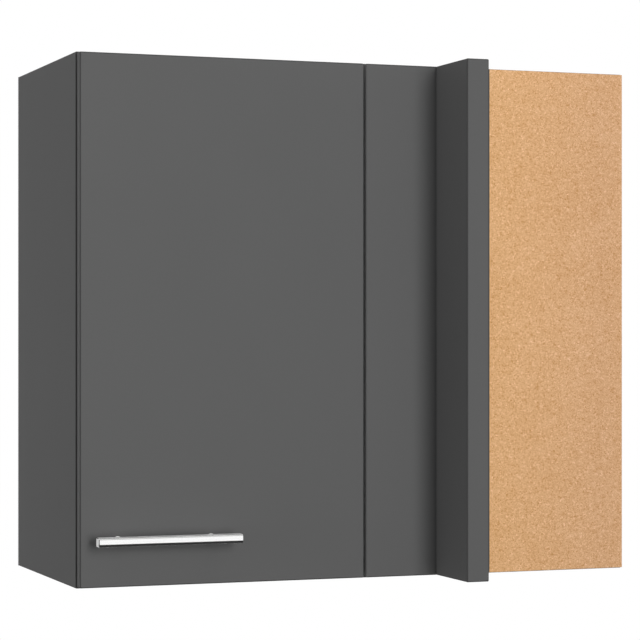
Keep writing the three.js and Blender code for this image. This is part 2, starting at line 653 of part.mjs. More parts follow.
// The mounting plate on the stile: a raised spine under the arm and two wings with screws.
function hingePlate(name) {
  const halfWing = PLATE_WING_WIDTH / 2;
  const halfSpine = PLATE_SPINE_WIDTH / 2;
  const wingEnd = PLATE_SCREW_REACH + PLATE_WING_PAST_SCREW;
  const base = box(
    [STILE_LEFT - PLATE_BASE, STILE_LEFT],
    [PLATE_SCREW_BACK - halfWing, PLATE_SCREW_BACK + halfWing],
    [-wingEnd, wingEnd],
  );
  const spine = box([PLATE_FACE, STILE_LEFT], [PLATE_FRONT, PLATE_REAR], [-halfSpine, halfSpine]);
  const body = solid(base).add(solid(spine));
  const tapped = [PLATE_FACE - OVERCUT, STILE_LEFT - PLATE_BASE + PIECE_GAP];
  const cuts = [
    rod("x", ARM_SCREW_RADIUS + PIECE_GAP, tapped, [0, ARM_SCREW_BACK, 0], SMALL_ROUND),
  ];
  for (const reach of [-PLATE_SCREW_REACH, PLATE_SCREW_REACH]) {
    const span = [STILE_LEFT - PLATE_BASE - OVERCUT, STILE_LEFT + OVERCUT];
    cuts.push(rod("x", PLATE_SCREW_RADIUS + PIECE_GAP, span, [0, PLATE_SCREW_BACK, reach], SMALL_ROUND));
  }
  return piece(name, surface(cutAway(body, cuts)), NICKEL);
}

// Everything of one hinge that stays on the stile, and what moves with the door.
function hinge(level, height) {
  const group = new THREE.Group();
  group.position.z = height;
  const face = STILE_LEFT - PLATE_BASE;
  const plateHead = { radius: PLATE_SCREW_HEAD, depth: SCREW_HEAD_DEPTH };
  const plateShank = { radius: PLATE_SCREW_RADIUS, length: PLATE_SCREW_LENGTH };
  const rows = { a: -PLATE_SCREW_REACH, b: PLATE_SCREW_REACH };
  for (const [row, reach] of Object.entries(rows)) {
    const name = `hinge_plate_screw_${level}_${row}`;
    group.add(screw(name, "x", 1, face, [0, PLATE_SCREW_BACK, reach], plateHead, plateShank));
  }
  const armHead = { radius: ARM_SCREW_HEAD, depth: SCREW_HEAD_DEPTH };
  const armShank = { radius: ARM_SCREW_RADIUS, length: ARM_BAR + PLATE_SPINE };
  group.add(screw(`hinge_arm_screw_${level}`, "x", 1, ARM_FACE, [0, ARM_SCREW_BACK, 0], armHead, armShank));
  group.add(hingePlate(`hinge_plate_${level}`));
  group.add(hingeArm(`hinge_arm_${level}`));
  group.add(hingePin(`hinge_pin_${level}`));
  group.add(hingeCup(`hinge_cup_${level}`));
  return group;
}

// ---------------------------------------------------------------- wall hangers
// The hanger's housing in a top rear corner, open towards the back panel. Its group starts at
// the housing's left edge.
function hangerHousing(name) {
  const wall = HANGER_WALL;
  const centre = HANGER_WIDTH / 2;
  const outside = box([0, HANGER_WIDTH], [HANGER_FRONT, HANGER_REAR], [HANGER_BOTTOM, INNER_TOP]);
  const cuts = [box(
    [wall, HANGER_WIDTH - wall],
    [HANGER_FRONT + wall, HANGER_REAR + OVERCUT],
    [HANGER_BOTTOM + wall, INNER_TOP - wall],
  )];
  for (const z of [HEIGHT_SCREW_Z, HOOK_TOP - HOOK_BAR / 2]) {
    const span = [HANGER_FRONT - OVERCUT, HANGER_FRONT + wall + OVERCUT];
    cuts.push(rod("y", HANGER_SCREW_RADIUS + PIECE_GAP, span, [centre, 0, z], SMALL_ROUND));
  }
  return piece(name, surface(cutAway(solid(outside), cuts)), WHITE_PLASTIC);
}

// The hook: a bar with a foot that stands on the height screw, and a lip behind the back
// panel that drops over the rail on the wall.
function hangerHook(name) {
  const rear = CARCASS_DEPTH - HOOK_TO_WALL;
  const footBottom = HEIGHT_SCREW_Z + HANGER_SCREW_RADIUS + PIECE_GAP;
  const shape = new THREE.Shape();
  shape.moveTo(HOOK_FRONT, footBottom);
  shape.lineTo(HOOK_FRONT + HOOK_FOOT, footBottom);
  shape.lineTo(HOOK_FRONT + HOOK_FOOT, HOOK_TOP - HOOK_BAR);
  shape.lineTo(rear - HOOK_LIP, HOOK_TOP - HOOK_BAR);
  shape.lineTo(rear - HOOK_LIP, HOOK_LIP_BOTTOM);
  shape.lineTo(rear, HOOK_LIP_BOTTOM);
  shape.lineTo(rear, HOOK_TOP);
  shape.lineTo(HOOK_FRONT, HOOK_TOP);
  shape.closePath();
  const left = (HANGER_WIDTH - HOOK_WIDTH) / 2;
  return piece(name, extrudeAlongX(shape, HOOK_WIDTH, 1), NICKEL, [left, 0, 0]);
}

function hanger(side, left) {
  const group = new THREE.Group();
  group.position.x = left;
  const centre = HANGER_WIDTH / 2;
  const face = HANGER_FRONT - PIECE_GAP;
  const head = { radius: HANGER_SCREW_HEAD, depth: SCREW_HEAD_DEPTH };
  const toHook = { radius: HANGER_SCREW_RADIUS, length: HOOK_FRONT - face - PIECE_GAP };
  const underHook = { radius: HANGER_SCREW_RADIUS, length: HEIGHT_SCREW_LENGTH };
  const depthAt = [centre, 0, HOOK_TOP - HOOK_BAR / 2];
  const heightAt = [centre, 0, HEIGHT_SCREW_Z];
  group.add(hangerHousing(`hanger_housing_${side}`));
  group.add(hangerHook(`hanger_hook_${side}`));
  group.add(screw(`hanger_depth_screw_${side}`, "y", 1, face, depthAt, head, toHook));
  group.add(screw(`hanger_height_screw_${side}`, "y", 1, face, heightAt, head, underHook));
  return group;
}

// ---------------------------------------------------------------- assembly
const cabinet = new THREE.Group();
const unit = new THREE.Group();
// The cabinet's own origin is on the wall, at the middle of the bottom panel's rear edge.
unit.position.set(-CARCASS_WIDTH / 2, -CARCASS_DEPTH, -BOARD / 2);
cabinet.add(unit);

unit.add(sidePanel("side_panel_left", -1));
unit.add(sidePanel("side_panel_right", 1));
unit.add(levelPanel("bottom_panel", -1));
unit.add(levelPanel("top_panel", 1));
unit.add(backPanel());
unit.add(hingeStile());
unit.add(batten("filler_batten", STILE_RIGHT, FILLER_BATTEN_WIDTH));
unit.add(batten("joint_batten", FILLER_RIGHT - JOINT_BATTEN_WIDTH / 2, JOINT_BATTEN_WIDTH));

for (const [place, at] of Object.entries(camPlaces())) {
  unit.add(camFitting(`cam_bottom_${place}`, -1, at));
  unit.add(camFitting(`cam_top_${place}`, 1, at));
}

for (const [level, height] of Object.entries(SHELF_HEIGHTS)) {
  unit.add(shelf(`shelf_${level}`, height));
  for (const [row, depth] of Object.entries(PIN_DEPTHS)) {
    unit.add(shelfPin(`shelf_pin_${level}_left_${row}`, -1, depth, pinHeight(height)));
    unit.add(shelfPin(`shelf_pin_${level}_right_${row}`, 1, depth, pinHeight(height)));
  }
}

unit.add(doorPanel());
unit.add(...fixedFronts());
unit.add(handleBar());
for (const [side, x] of Object.entries(POST_PLACES)) {
  unit.add(handlePost(`handle_post_${side}`, x));
  unit.add(handleScrew(`handle_screw_${side}`, x));
}
unit.add(bumper("door_bumper_lower", FRONT_BOTTOM + BUMPER_FROM_END));
unit.add(bumper("door_bumper_upper", FRONT_TOP - BUMPER_FROM_END));

for (const [level, height] of Object.entries(HINGE_HEIGHTS)) unit.add(hinge(level, height));
for (const [side, left] of Object.entries(HANGER_LEFT_EDGES)) unit.add(hanger(side, left));

export default cabinet;
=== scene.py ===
# %% [markdown]
# # A corner wall cabinet, dressed in Blender
#
# The cabinet arrives as a fixed frame of plain solids. This lesson gives each of them its
# finish, and puts finer pieces in place of the plain ones: boards with rounded edge bands,
# turned fittings, bent steel. Nothing is moved or resized. Every length is in metres, and a
# point here is the same point in the frame.

# %% Load the frame
import json
import math

import bmesh
import bpy
from mathutils import Matrix, Vector

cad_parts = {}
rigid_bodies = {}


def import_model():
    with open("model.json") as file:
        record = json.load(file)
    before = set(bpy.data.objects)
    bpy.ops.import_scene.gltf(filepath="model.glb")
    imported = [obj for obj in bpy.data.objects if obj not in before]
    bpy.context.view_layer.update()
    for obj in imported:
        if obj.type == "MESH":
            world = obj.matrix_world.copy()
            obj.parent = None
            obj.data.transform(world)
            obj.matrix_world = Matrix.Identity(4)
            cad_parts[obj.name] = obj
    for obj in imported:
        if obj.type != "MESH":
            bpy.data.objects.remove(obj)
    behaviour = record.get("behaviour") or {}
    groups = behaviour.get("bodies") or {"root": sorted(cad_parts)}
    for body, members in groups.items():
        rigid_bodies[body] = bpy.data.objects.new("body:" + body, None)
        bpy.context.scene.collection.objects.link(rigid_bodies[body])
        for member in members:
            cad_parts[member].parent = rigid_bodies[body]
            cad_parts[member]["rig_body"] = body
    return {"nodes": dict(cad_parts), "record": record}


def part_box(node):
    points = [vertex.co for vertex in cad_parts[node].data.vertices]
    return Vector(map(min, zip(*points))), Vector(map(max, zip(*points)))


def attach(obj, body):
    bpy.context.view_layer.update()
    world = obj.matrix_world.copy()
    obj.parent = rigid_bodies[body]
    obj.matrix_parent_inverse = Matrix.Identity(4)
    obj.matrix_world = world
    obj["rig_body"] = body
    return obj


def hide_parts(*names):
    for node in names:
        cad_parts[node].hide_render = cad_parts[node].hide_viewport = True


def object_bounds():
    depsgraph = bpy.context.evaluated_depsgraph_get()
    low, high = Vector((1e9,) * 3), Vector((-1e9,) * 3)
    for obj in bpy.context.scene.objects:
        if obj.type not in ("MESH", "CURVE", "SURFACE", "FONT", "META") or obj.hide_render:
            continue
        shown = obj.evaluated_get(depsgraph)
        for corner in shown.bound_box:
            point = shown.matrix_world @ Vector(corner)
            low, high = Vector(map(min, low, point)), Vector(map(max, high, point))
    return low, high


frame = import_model()
cad_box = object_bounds()
MM = 0.001
print("cabinet from", cad_box[0], "to", cad_box[1])

# %% [markdown]
# ## The camera
#
# The picture was taken from the left with a long lens, level, with all uprights upright. So
# the camera looks along the horizon and is never tilted. The horizon lies a little below
# the middle of the picture, and that comes from a small lens shift, as on a view camera.

# %% Camera
PICTURE_WIDTH = 640
SENSOR_WIDTH = 36.0
FOCAL_PIXELS = 2353.0
HORIZON_BELOW_MIDDLE = 13.7
AXIS_RIGHT_OF_MIDDLE = 0.5
CAMERA_PLACE = Vector((-1.1732, -3.3306, 0.3261))
CAMERA_TURN = math.radians(20.39)
LEVEL_LOOK = math.radians(90)


def make_camera():
    lens = bpy.data.cameras.new("camera")
    lens.sensor_width = SENSOR_WIDTH
    lens.lens = FOCAL_PIXELS / PICTURE_WIDTH * SENSOR_WIDTH
    lens.shift_x = -AXIS_RIGHT_OF_MIDDLE / PICTURE_WIDTH
    lens.shift_y = HORIZON_BELOW_MIDDLE / PICTURE_WIDTH
    camera = bpy.data.objects.new("camera", lens)
    camera.location = CAMERA_PLACE
    camera.rotation_euler = (LEVEL_LOOK, 0, -CAMERA_TURN)
    bpy.context.scene.collection.objects.link(camera)
    bpy.context.scene.camera = camera
    return camera


camera = make_camera()
bpy.context.scene.view_settings.view_transform = "Standard"
print("lens", round(camera.data.lens, 1), "mm")

# %% [markdown]
# ## Small helpers for shader nodes
#
# Each finish is a little tree of nodes. These helpers keep the trees short: they add a node
# and fill its sockets, make noise, and mix. The noise can be stretched, because fibres and
# brush marks run one way. It is laid out in the piece's own coordinates, so nothing has to
# be unwrapped, and the grain stays where it is when the door swings.

# %% Nodes and noise


def feed(tree, socket, value):
    """Sets a socket to a value, or links it to another node's output."""
    if isinstance(value, bpy.types.NodeSocket):
        tree.links.new(value, socket)
    else:
        socket.default_value = value


def add(tree, kind, **sockets):
    """A node whose sockets are filled by their names."""
    node = tree.nodes.new(kind)
    for name, value in sockets.items():
        feed(tree, node.inputs[name.replace("_", " ")], value)
    return node


def start_material(name):
    """An empty material, its node tree, and the coordinates of the piece that wears it."""
    material = bpy.data.materials.new(name)
    material.use_nodes = True
    tree = material.node_tree
    tree.nodes.clear()
    place = add(tree, "ShaderNodeTexCoord").outputs["Object"]
    return material, tree, place


def even(number):
    """The same number along X, Y and Z."""
    return (number, number, number)


def stretched_noise(tree, place, waves, detail=3.0, roughness=0.5):
    """Noise between 0 and 1. The waves are three numbers: how many per metre each way."""
    mapped = add(tree, "ShaderNodeMapping", Vector=place, Scale=waves)
    noise = add(
        tree, "ShaderNodeTexNoise",
        Vector=mapped.outputs["Vector"], Scale=1.0, Detail=detail, Roughness=roughness,
    )
    return noise.outputs[0]


print("noise ready")

# %% Mixing, sums and the end of a material
# The Mix node has sockets for numbers, vectors and colours. These are the ones for colours.
MIX_INPUTS = (0, 6, 7)
MIX_OUTPUT = 2


def between(tree, factor, low, high):
    """The factor's 0 to 1 mapped to low to high."""
    spread = add(tree, "ShaderNodeMapRange", Value=factor, To_Min=low, To_Max=high)
    return spread.outputs["Result"]


def blend(tree, factor, first, second, kind="MIX"):
    """Two colours mixed. Each is a colour or a socket."""
    mix = tree.nodes.new("ShaderNodeMix")
    mix.data_type = "RGBA"
    mix.blend_type = kind
    for index, value in zip(MIX_INPUTS, (factor, first, second)):
        feed(tree, mix.inputs[index], value)
    return mix.outputs[MIX_OUTPUT]


def calculate(tree, operation, *values):
    """One sum. Each value is a number or a socket."""
    node = tree.nodes.new("ShaderNodeMath")
    node.operation = operation
    for socket, value in zip(node.inputs, values):
        feed(tree, socket, value)
    return node.outputs[0]


def tint(tone, share=1.0):
    """A colour for a socket: a share of each of the three parts, and fully opaque."""
    return (*(part * share for part in tone), 1.0)


def grey(value):
    return tint(even(value))


def greys(value, share):
    """Two greys, a share darker and a share paler than the value."""
    return grey(value * (1 - share)), grey(value * (1 + share))


def bumped(tree, height, distance):
    return add(tree, "ShaderNodeBump", Height=height, Distance=distance).outputs["Normal"]


def end_material(tree, colour, roughness, normal, **constants):
    """The shader and the output. What is the same all over goes straight on the shader."""
    shader = add(
        tree, "ShaderNodeBsdfPrincipled",
        Base_Color=colour, Roughness=roughness, Normal=normal, **constants,
    )
    add(tree, "ShaderNodeOutputMaterial", Surface=shader.outputs["BSDF"])


print("node helpers ready")

# %% [markdown]
# ## Studio: background and floor
#
# A wall cabinet hangs well above the floor, so the pale floor lies far below it and the
# picture shows only white behind the cabinet. That white is seen by the camera and by the
# metal. More light would whiten it too, but it would also bleach the boards. So the light
# that falls on them stays at a plain level.

# %% Sky
SKY_LEVEL = 0.346
WHITE = grey(1.0)


def seen_directly(tree):
    """1 on rays from the camera, from glossy surfaces and through clear ones, else 0."""
    path = add(tree, "ShaderNodeLightPath").outputs
    either = calculate(tree, "MAXIMUM", path["Is Camera Ray"], path["Is Glossy Ray"])
    return calculate(tree, "MAXIMUM", either, path["Is Transmission Ray"])


def make_world():
    world = bpy.data.worlds.new("studio")
    world.use_nodes = True
    tree = world.node_tree
    tree.nodes.clear()
    level = between(tree, seen_directly(tree), SKY_LEVEL, 1.0)
    sky = add(tree, "ShaderNodeBackground", Color=WHITE, Strength=level)
    add(tree, "ShaderNodeOutputWorld", Surface=sky.outputs["Background"])
    bpy.context.scene.world = world


make_world()
print("sky at", SKY_LEVEL)

# %% Floor
FLOOR_LEVEL = -3.0
FLOOR_RADIUS = 13.4
FLOOR_EDGES = 96
FLOOR_WAVES = even(3)
FLOOR_TONES = (0.50, 0.54)
FLOOR_GLOW = 0.5


def as_object(mesh, name, finishes):
    """The mesh as an object in the scene, with its finishes. The mesh itself is used up."""
    data = bpy.data.meshes.new(name)
    mesh.to_mesh(data)
    mesh.free()
    for finish in finishes:
        data.materials.append(finish)
    made = bpy.data.objects.new(name, data)
    bpy.context.scene.collection.objects.link(made)
    return made


def make_floor():
    material, tree, place = start_material("pale_floor")
    tone = blend(tree, stretched_noise(tree, place, FLOOR_WAVES), *map(grey, FLOOR_TONES))
    lit = add(tree, "ShaderNodeBsdfDiffuse", Color=tone)
    strength = between(tree, seen_directly(tree), 0.0, FLOOR_GLOW)
    glow = add(tree, "ShaderNodeEmission", Color=WHITE, Strength=strength)
    both = tree.nodes.new("ShaderNodeAddShader")
    feed(tree, both.inputs[0], lit.outputs["BSDF"])
    feed(tree, both.inputs[1], glow.outputs["Emission"])
    add(tree, "ShaderNodeOutputMaterial", Surface=both.outputs["Shader"])
    disc = bmesh.new()
    bmesh.ops.create_circle(disc, cap_ends=True, segments=FLOOR_EDGES, radius=FLOOR_RADIUS)
    floor = as_object(disc, "floor", [material])
    floor.location.z = FLOOR_LEVEL


make_floor()
print("floor at", FLOOR_LEVEL)

# %% [markdown]
# ## Studio: lamps and flags
#
# The light is an even sky with soft lamps round the cabinet. The main lamp is a tall narrow
# softbox, built here as three lamps one above the other. It stands in front and a little to
# the right, so that the return shades the corner beside it, and because it is tall, the
# level handle casts only a faint shadow.
#
# Bright metal shows what stands round it. Two dark flags and a grey card, which only the
# reflections can see, give the handle a dark line below and at its end, and a grey upper
# edge. A dark sheet below the front, which only the light on the boards can see, makes all
# fronts a little darker towards their feet.

# %% Lamps
SOFTBOX_TURN = 9
SOFTBOX_RISES = (-5, 7, 19)
SOFTBOX_LEVEL = 0.685
SOFTBOX_SOFTNESS = 20
# Each lamp: degrees round from the front towards the right, degrees up, level, softness.
LAMPS = {
    f"softbox_{number}": (
        SOFTBOX_TURN, rise, SOFTBOX_LEVEL / len(SOFTBOX_RISES), SOFTBOX_SOFTNESS,
    )
    for number, rise in enumerate(SOFTBOX_RISES)
}
LAMPS.update({
    "left_lamp": (-80, 4, 0.218, 24),
    "right_lamp": (90, 5, 0.38, 40),
    "rear_lamp": (180, 5, 0.45, 40),
    "top_lamp": (0, 90, 0.38, 40),
})


def direction(turn, rise):
    """A unit vector: degrees round from the front towards the right, and degrees up."""
    turn, rise = math.radians(turn), math.radians(rise)
    flat = math.cos(rise)
    return Vector((math.sin(turn) * flat, -math.cos(turn) * flat, math.sin(rise)))


def face_inwards(holder, away):
    """Turns a lamp or flag so that it looks at the cabinet."""
    holder.rotation_mode = "QUATERNION"
    holder.rotation_quaternion = away.to_track_quat("Z", "Y")


def make_lamp(name, turn, rise, level, softness):
    """A far soft lamp. A white surface that faces it gets this level of light."""
    lamp = bpy.data.lights.new(name, "SUN")
    lamp.energy = level * math.pi
    lamp.angle = math.radians(softness)
    holder = bpy.data.objects.new(name, lamp)
    face_inwards(holder, direction(turn, rise))
    holder.visible_glossy = False
    bpy.context.scene.collection.objects.link(holder)


for lamp_name, lamp_values in LAMPS.items():
    make_lamp(lamp_name, *lamp_values)
print(len(LAMPS), "lamps")

# %% Flags and card
# Each flag or card: degrees round, degrees up, distance, width, height, brightness and the
# kind of light that sees it.
FLAGS = {
    "lower_flag": (0, -71, 1.2, 5.0, 1.9, 0.03, "glossy"),
    "left_flag": (-70, 0, 3.0, 2.4, 3.0, 0.05, "glossy"),
    "upper_card": (0, 40, 3.0, 6.0, 2.8, 0.5, "glossy"),
    "lower_shade": (0, -60, 1.3, 5.0, 1.6, 0.05, "diffuse"),
}
CLOTH_WAVES = even(4)
CLOTH_CONTRAST = 0.1
RAY_KINDS = ("camera", "diffuse", "glossy", "transmission", "volume_scatter", "shadow")


def make_flag(name, turn, rise, distance, width, height, level, seen_by):
    """A screen that only one kind of light sees: glossy for metal, diffuse for the boards."""
    material, tree, place = start_material(name)
    cloth = stretched_noise(tree, place, CLOTH_WAVES)
    dim, bright = level * (1 - CLOTH_CONTRAST), level * (1 + CLOTH_CONTRAST)
    strength = between(tree, cloth, dim, bright)
    glow = add(tree, "ShaderNodeEmission", Color=WHITE, Strength=strength)
    add(tree, "ShaderNodeOutputMaterial", Surface=glow.outputs["Emission"])
    size = Matrix.Diagonal((width, height, 1, 1))
    sheet = bmesh.new()
    bmesh.ops.create_grid(sheet, x_segments=1, y_segments=1, size=0.5, matrix=size)
    flag = as_object(sheet, name, [material])
    away = direction(turn, rise)
    flag.location = (cad_box[0] + cad_box[1]) / 2 + away * distance
    face_inwards(flag, away)
    for kind in RAY_KINDS:
        setattr(flag, f"visible_{kind}", kind == seen_by)


for flag_name, flag_values in FLAGS.items():
    make_flag(flag_name, *flag_values)
print(len(FLAGS), "flags and cards")

# %% [markdown]
# ## The graphite board
#
# The carcass and the fronts are chipboard with a graphite melamine facing. The facing is a
# resin film with a fine pearl grain: almost even in colour, matt, and catching a little
# light on its tiny bumps. The bands on the edges are plastic, a touch darker and smoother.
#
# One flat grey would look like paper. So slow noise clouds the colour a little, and fine
# noise sets the pearls in colour, gloss and height at once, because they are one thing.

# %% Graphite facing and edge band
GRAPHITE = 0.112
FILM_CLOUDS = (7, 7, 5)
FILM_PEARLS = even(900)
FILM_DUST = even(2600)
CLOUD_CONTRAST = 0.025
PEARL_CONTRAST = 0.045
PEARL_STRETCH = (-0.6, 1.6)
PEARL_GLOSS = 0.05
DUST_SHARE = 0.35


def graphite_facing(name, tone, roughness, grain):
    material, tree, place = start_material(name)
    cloud = stretched_noise(tree, place, FILM_CLOUDS, detail=2)
    pearl = stretched_noise(tree, place, FILM_PEARLS, detail=2)
    dust = stretched_noise(tree, place, FILM_DUST, detail=1)
    base = blend(tree, cloud, *greys(tone, CLOUD_CONTRAST))
    speck = blend(tree, between(tree, pearl, *PEARL_STRETCH), *greys(1, PEARL_CONTRAST))
    colour = blend(tree, 1.0, base, speck, "MULTIPLY")
    sheen = between(tree, pearl, roughness - PEARL_GLOSS, roughness + PEARL_GLOSS)
    height = blend(tree, DUST_SHARE, pearl, dust)
    end_material(tree, colour, sheen, bumped(tree, height, grain), Specular_IOR_Level=0.015)
    return material


FACING_GRAIN, BAND_GRAIN, SMOOTH_GRAIN = 0.03 * MM, 0.012 * MM, 0.008 * MM

facing = graphite_facing("graphite_facing", GRAPHITE, 0.58, FACING_GRAIN)
edge_band = graphite_facing("graphite_edge_band", GRAPHITE * 0.95, 0.48, BAND_GRAIN)
# Painted shade: the rounded faces of the bands are painted darker, a little over half the
# graphite's tone, as a fine dark outline round each board.
band_rounding_painted_shade = graphite_facing("graphite_rounding_painted_shade", GRAPHITE * 0.55, 0.42, SMOOTH_GRAIN)
# Painted light: three times paler than the graphite, for the band faces inside the narrow joint
# beside the door, where little light reaches.
painted_light_edge_band = graphite_facing("joint_edge_painted_light", GRAPHITE * 3, 0.48, BAND_GRAIN)
print("graphite", GRAPHITE)

# %% [markdown]
# ## Raw chipboard
#
# The blind panel is sanded chipboard without a facing. Its surface is made of flat chips a
# millimetre or two long, with fine dust between them. Chips in mesh code would need
# millions of faces, so they are cell noise: each cell is a chip with a tone of its own,
# most near the middle tone, a few very pale or dark. Smooth noise adds the soft broad bands
# of the pressing. The board's colour also carries painted light: it is paler beside the
# return and darker towards its outer edge, offsetting the return's shade. On sawn edges
# the chips are seen from their ends: coarser, darker and rougher.

# %% Chips
CHIP_WOBBLE = 1.7
WOBBLE_SHARE = 0.28
MIDDLE_TONE = 0.5
CUBE_TO_TONE = 4.0
TINT_OF_SPECKS = Vector((0.80, 1.20, 2.0))


def chip_cells(tree, place, per_metre):
    """Cells like chips, with tones from 0 to 1. Few cells are far from the middle tone."""
    mapped = add(tree, "ShaderNodeMapping", Vector=place, Scale=even(per_metre))
    vector = mapped.outputs["Vector"]
    wobble = add(tree, "ShaderNodeTexNoise", Vector=vector, Scale=CHIP_WOBBLE, Detail=2.0)
    moved = blend(tree, WOBBLE_SHARE, vector, wobble.outputs["Color"], "ADD")
    cells = add(tree, "ShaderNodeTexVoronoi", Vector=moved, Scale=1.0)
    split = add(tree, "ShaderNodeSeparateColor", Color=cells.outputs["Color"])
    off = calculate(tree, "SUBTRACT", split.outputs["Red"], MIDDLE_TONE)
    cube = calculate(tree, "MULTIPLY", calculate(tree, "MULTIPLY", off, off), off)
    return calculate(tree, "MULTIPLY_ADD", cube, CUBE_TO_TONE, MIDDLE_TONE)


def specked(tree, colour, cells, share):
    """The colour made darker or paler by the share. Pale specks are also greyer."""
    dark, pale = (
        (*(1 + sign * share * part for part in TINT_OF_SPECKS), 1.0) for sign in (-1, 1)
    )
    return blend(tree, 1.0, colour, blend(tree, cells, dark, pale), "MULTIPLY")


print("chips ready")

# %% Raw chipboard, face and edge
# Painted light: the tone runs from paler beside the return to darker at the outer edge,
# offsetting the shade the return casts on the board.
CHIP_TONE_PAINTED_LIGHT = (0.714, 0.415, 0.199, 1.0)
CHIP_TONE_PAINTED_SHADE = (0.628, 0.366, 0.194, 1.0)
PAINTED_LIGHT_FULL_AT = 0.18
PAINTED_SHADE_FULL_AT = 0.36
DUST_WAVES = even(1500)
BAND_WAVES = (16, 16, 0.9)
CLOUD_WAVES = even(14)
BAND_CONTRAST = 0.03
CLOUDING = 0.05
DUST_CONTRAST = 0.7
SMALL_CHIP_SHARE = 0.5
RAW_ROUGHNESS = (0.82, 0.95)


def chipboard(name, chips_per_metre, contrast, depth, tone=1.0):
    """Contrast is how far the chips and the dust go from the board's own tone."""
    material, tree, place = start_material(name)
    chips = chip_cells(tree, place, chips_per_metre)
    small = chip_cells(tree, place, chips_per_metre * 2)
    dust = stretched_noise(tree, place, DUST_WAVES, detail=2)
    bands = stretched_noise(tree, place, BAND_WAVES, detail=2)
    cloud = stretched_noise(tree, place, CLOUD_WAVES, detail=2)
    # Painted light: across the board in X, from paler beside the return to darker at its outer
    # edge.
    side = add(
        tree, "ShaderNodeMapRange", From_Min=PAINTED_LIGHT_FULL_AT, From_Max=PAINTED_SHADE_FULL_AT,
        Value=add(tree, "ShaderNodeSeparateXYZ", Vector=place).outputs["X"],
    ).outputs["Result"]
    colour = blend(tree, side, CHIP_TONE_PAINTED_LIGHT, CHIP_TONE_PAINTED_SHADE)
    colour = blend(tree, 1.0, colour, grey(tone), "MULTIPLY")
    for cells, share in (
        (bands, BAND_CONTRAST), (cloud, CLOUDING),
        (chips, contrast), (small, contrast), (dust, contrast * DUST_CONTRAST),
    ):
        colour = specked(tree, colour, cells, share)
    sheen = between(tree, chips, *RAW_ROUGHNESS)
    normal = bumped(tree, blend(tree, SMALL_CHIP_SHARE, dust, small), depth)
    end_material(tree, colour, sheen, normal, Specular_IOR_Level=0.15)
    return material


raw_face = chipboard(
    "raw_chipboard_face", chips_per_metre=560, contrast=0.24, depth=0.06 * MM,
)
raw_edge = chipboard(
    "raw_chipboard_edge", chips_per_metre=300, contrast=0.34, depth=0.25 * MM, tone=0.85,
)
print("raw chipboard, face and edge")

# %% [markdown]
# ## Hardboard
#
# The back panel is hardboard: brown pressed fibre behind, a thin graphite print in front.
# The fibres are noise stretched up the panel, on a slow cloud of two browns. The print is
# the graphite film again, smoother, so it is made by the same helper.

# %% Hardboard
FIBRE_CLOUDS = even(30)
FIBRE_WAVES = (1400, 400, 260)
FIBRE_BROWNS = ((0.21, 0.115, 0.055, 1.0), (0.27, 0.155, 0.080, 1.0))
FIBRE_STRETCH = (-0.4, 1.4)
FIBRE_CONTRAST = 0.2
FIBRE_ROUGHNESS = (0.45, 0.7)
FIBRE_DEPTH = 0.04 * MM


def pressed_fibre(name):
    material, tree, place = start_material(name)
    cloud = stretched_noise(tree, place, FIBRE_CLOUDS, detail=4)
    fibre = stretched_noise(tree, place, FIBRE_WAVES)
    base = blend(tree, cloud, *FIBRE_BROWNS)
    strands = blend(tree, between(tree, fibre, *FIBRE_STRETCH), *greys(1, FIBRE_CONTRAST))
    colour = blend(tree, 1.0, base, strands, "MULTIPLY")
    sheen = between(tree, fibre, *FIBRE_ROUGHNESS)
    normal = bumped(tree, fibre, FIBRE_DEPTH)
    end_material(tree, colour, sheen, normal, Specular_IOR_Level=0.3)
    return material


hardboard_rear = pressed_fibre("hardboard_fibre")
hardboard_print = graphite_facing("hardboard_print", GRAPHITE * 1.06, 0.42, SMOOTH_GRAIN)
print("hardboard, both faces")

# %% [markdown]
# ## Steel, nickel and zinc
#
# The handle is bright steel, brushed along the bar, with blasted ends and satin upper and
# lower faces. Brush marks are noise with few waves along the bar and thousands across it.
# The small fittings are nickel plated or cast zinc, with a soft uneven shine and no
# direction, so their noise is even.

# %% Metals
METAL_CLOUDS = even(60)
CLOUD_SHARE = 0.4
MARK_DARKENING = 0.94
ALONG_THE_BAR = (25, 2600, 2600)
FINE_GRAIN = even(900)


def brushed_metal(name, tone, waves, roughness, depth, metallic=1.0):
    """Metal with brush marks. The marks are long on the axis that has few waves."""
    material, tree, place = start_material(name)
    marks = stretched_noise(tree, place, waves, roughness=0.6)
    cloud = stretched_noise(tree, place, METAL_CLOUDS, detail=2)
    colour = blend(tree, marks, tint(tone, MARK_DARKENING), tint(tone))
    sheen = between(tree, blend(tree, CLOUD_SHARE, marks, cloud), *roughness)
    end_material(tree, colour, sheen, bumped(tree, marks, depth), Metallic=metallic)
    return material


steel = brushed_metal(
    "brushed_steel", (0.99, 0.99, 0.985), ALONG_THE_BAR,
    roughness=(0.14, 0.22), depth=0.004 * MM,
)
blasted_steel = brushed_metal(
    "blasted_steel", (0.97, 0.97, 0.965), FINE_GRAIN,
    roughness=(0.6, 0.7), depth=0.004 * MM,
)
satin_steel = brushed_metal(
    "satin_steel", (0.98, 0.98, 0.975), FINE_GRAIN,
    roughness=(0.55, 0.65), depth=0.004 * MM, metallic=0.3,
)
nickel = brushed_metal(
    "nickel_plate", (0.66, 0.65, 0.62), even(500), roughness=(0.22, 0.36), depth=0.006 * MM,
)
zinc = brushed_metal(
    "zinc_casting", even(0.50), FINE_GRAIN, roughness=(0.38, 0.55), depth=0.02 * MM,
)
print("five metals")

# %% [markdown]
# ## Plastic and rubber
#
# The hanger housings are moulded plastic with a fine spark-eroded texture, and the bumpers
# are soft clear rubber. Both carry the grain of their mould, so one helper makes both, and
# the rubber also lets light through.

# %% Plastic and rubber
MOULD_CLOUDS = even(45)
MOULD_DARKENING = 0.95
MOULD_GLOSS = 0.06


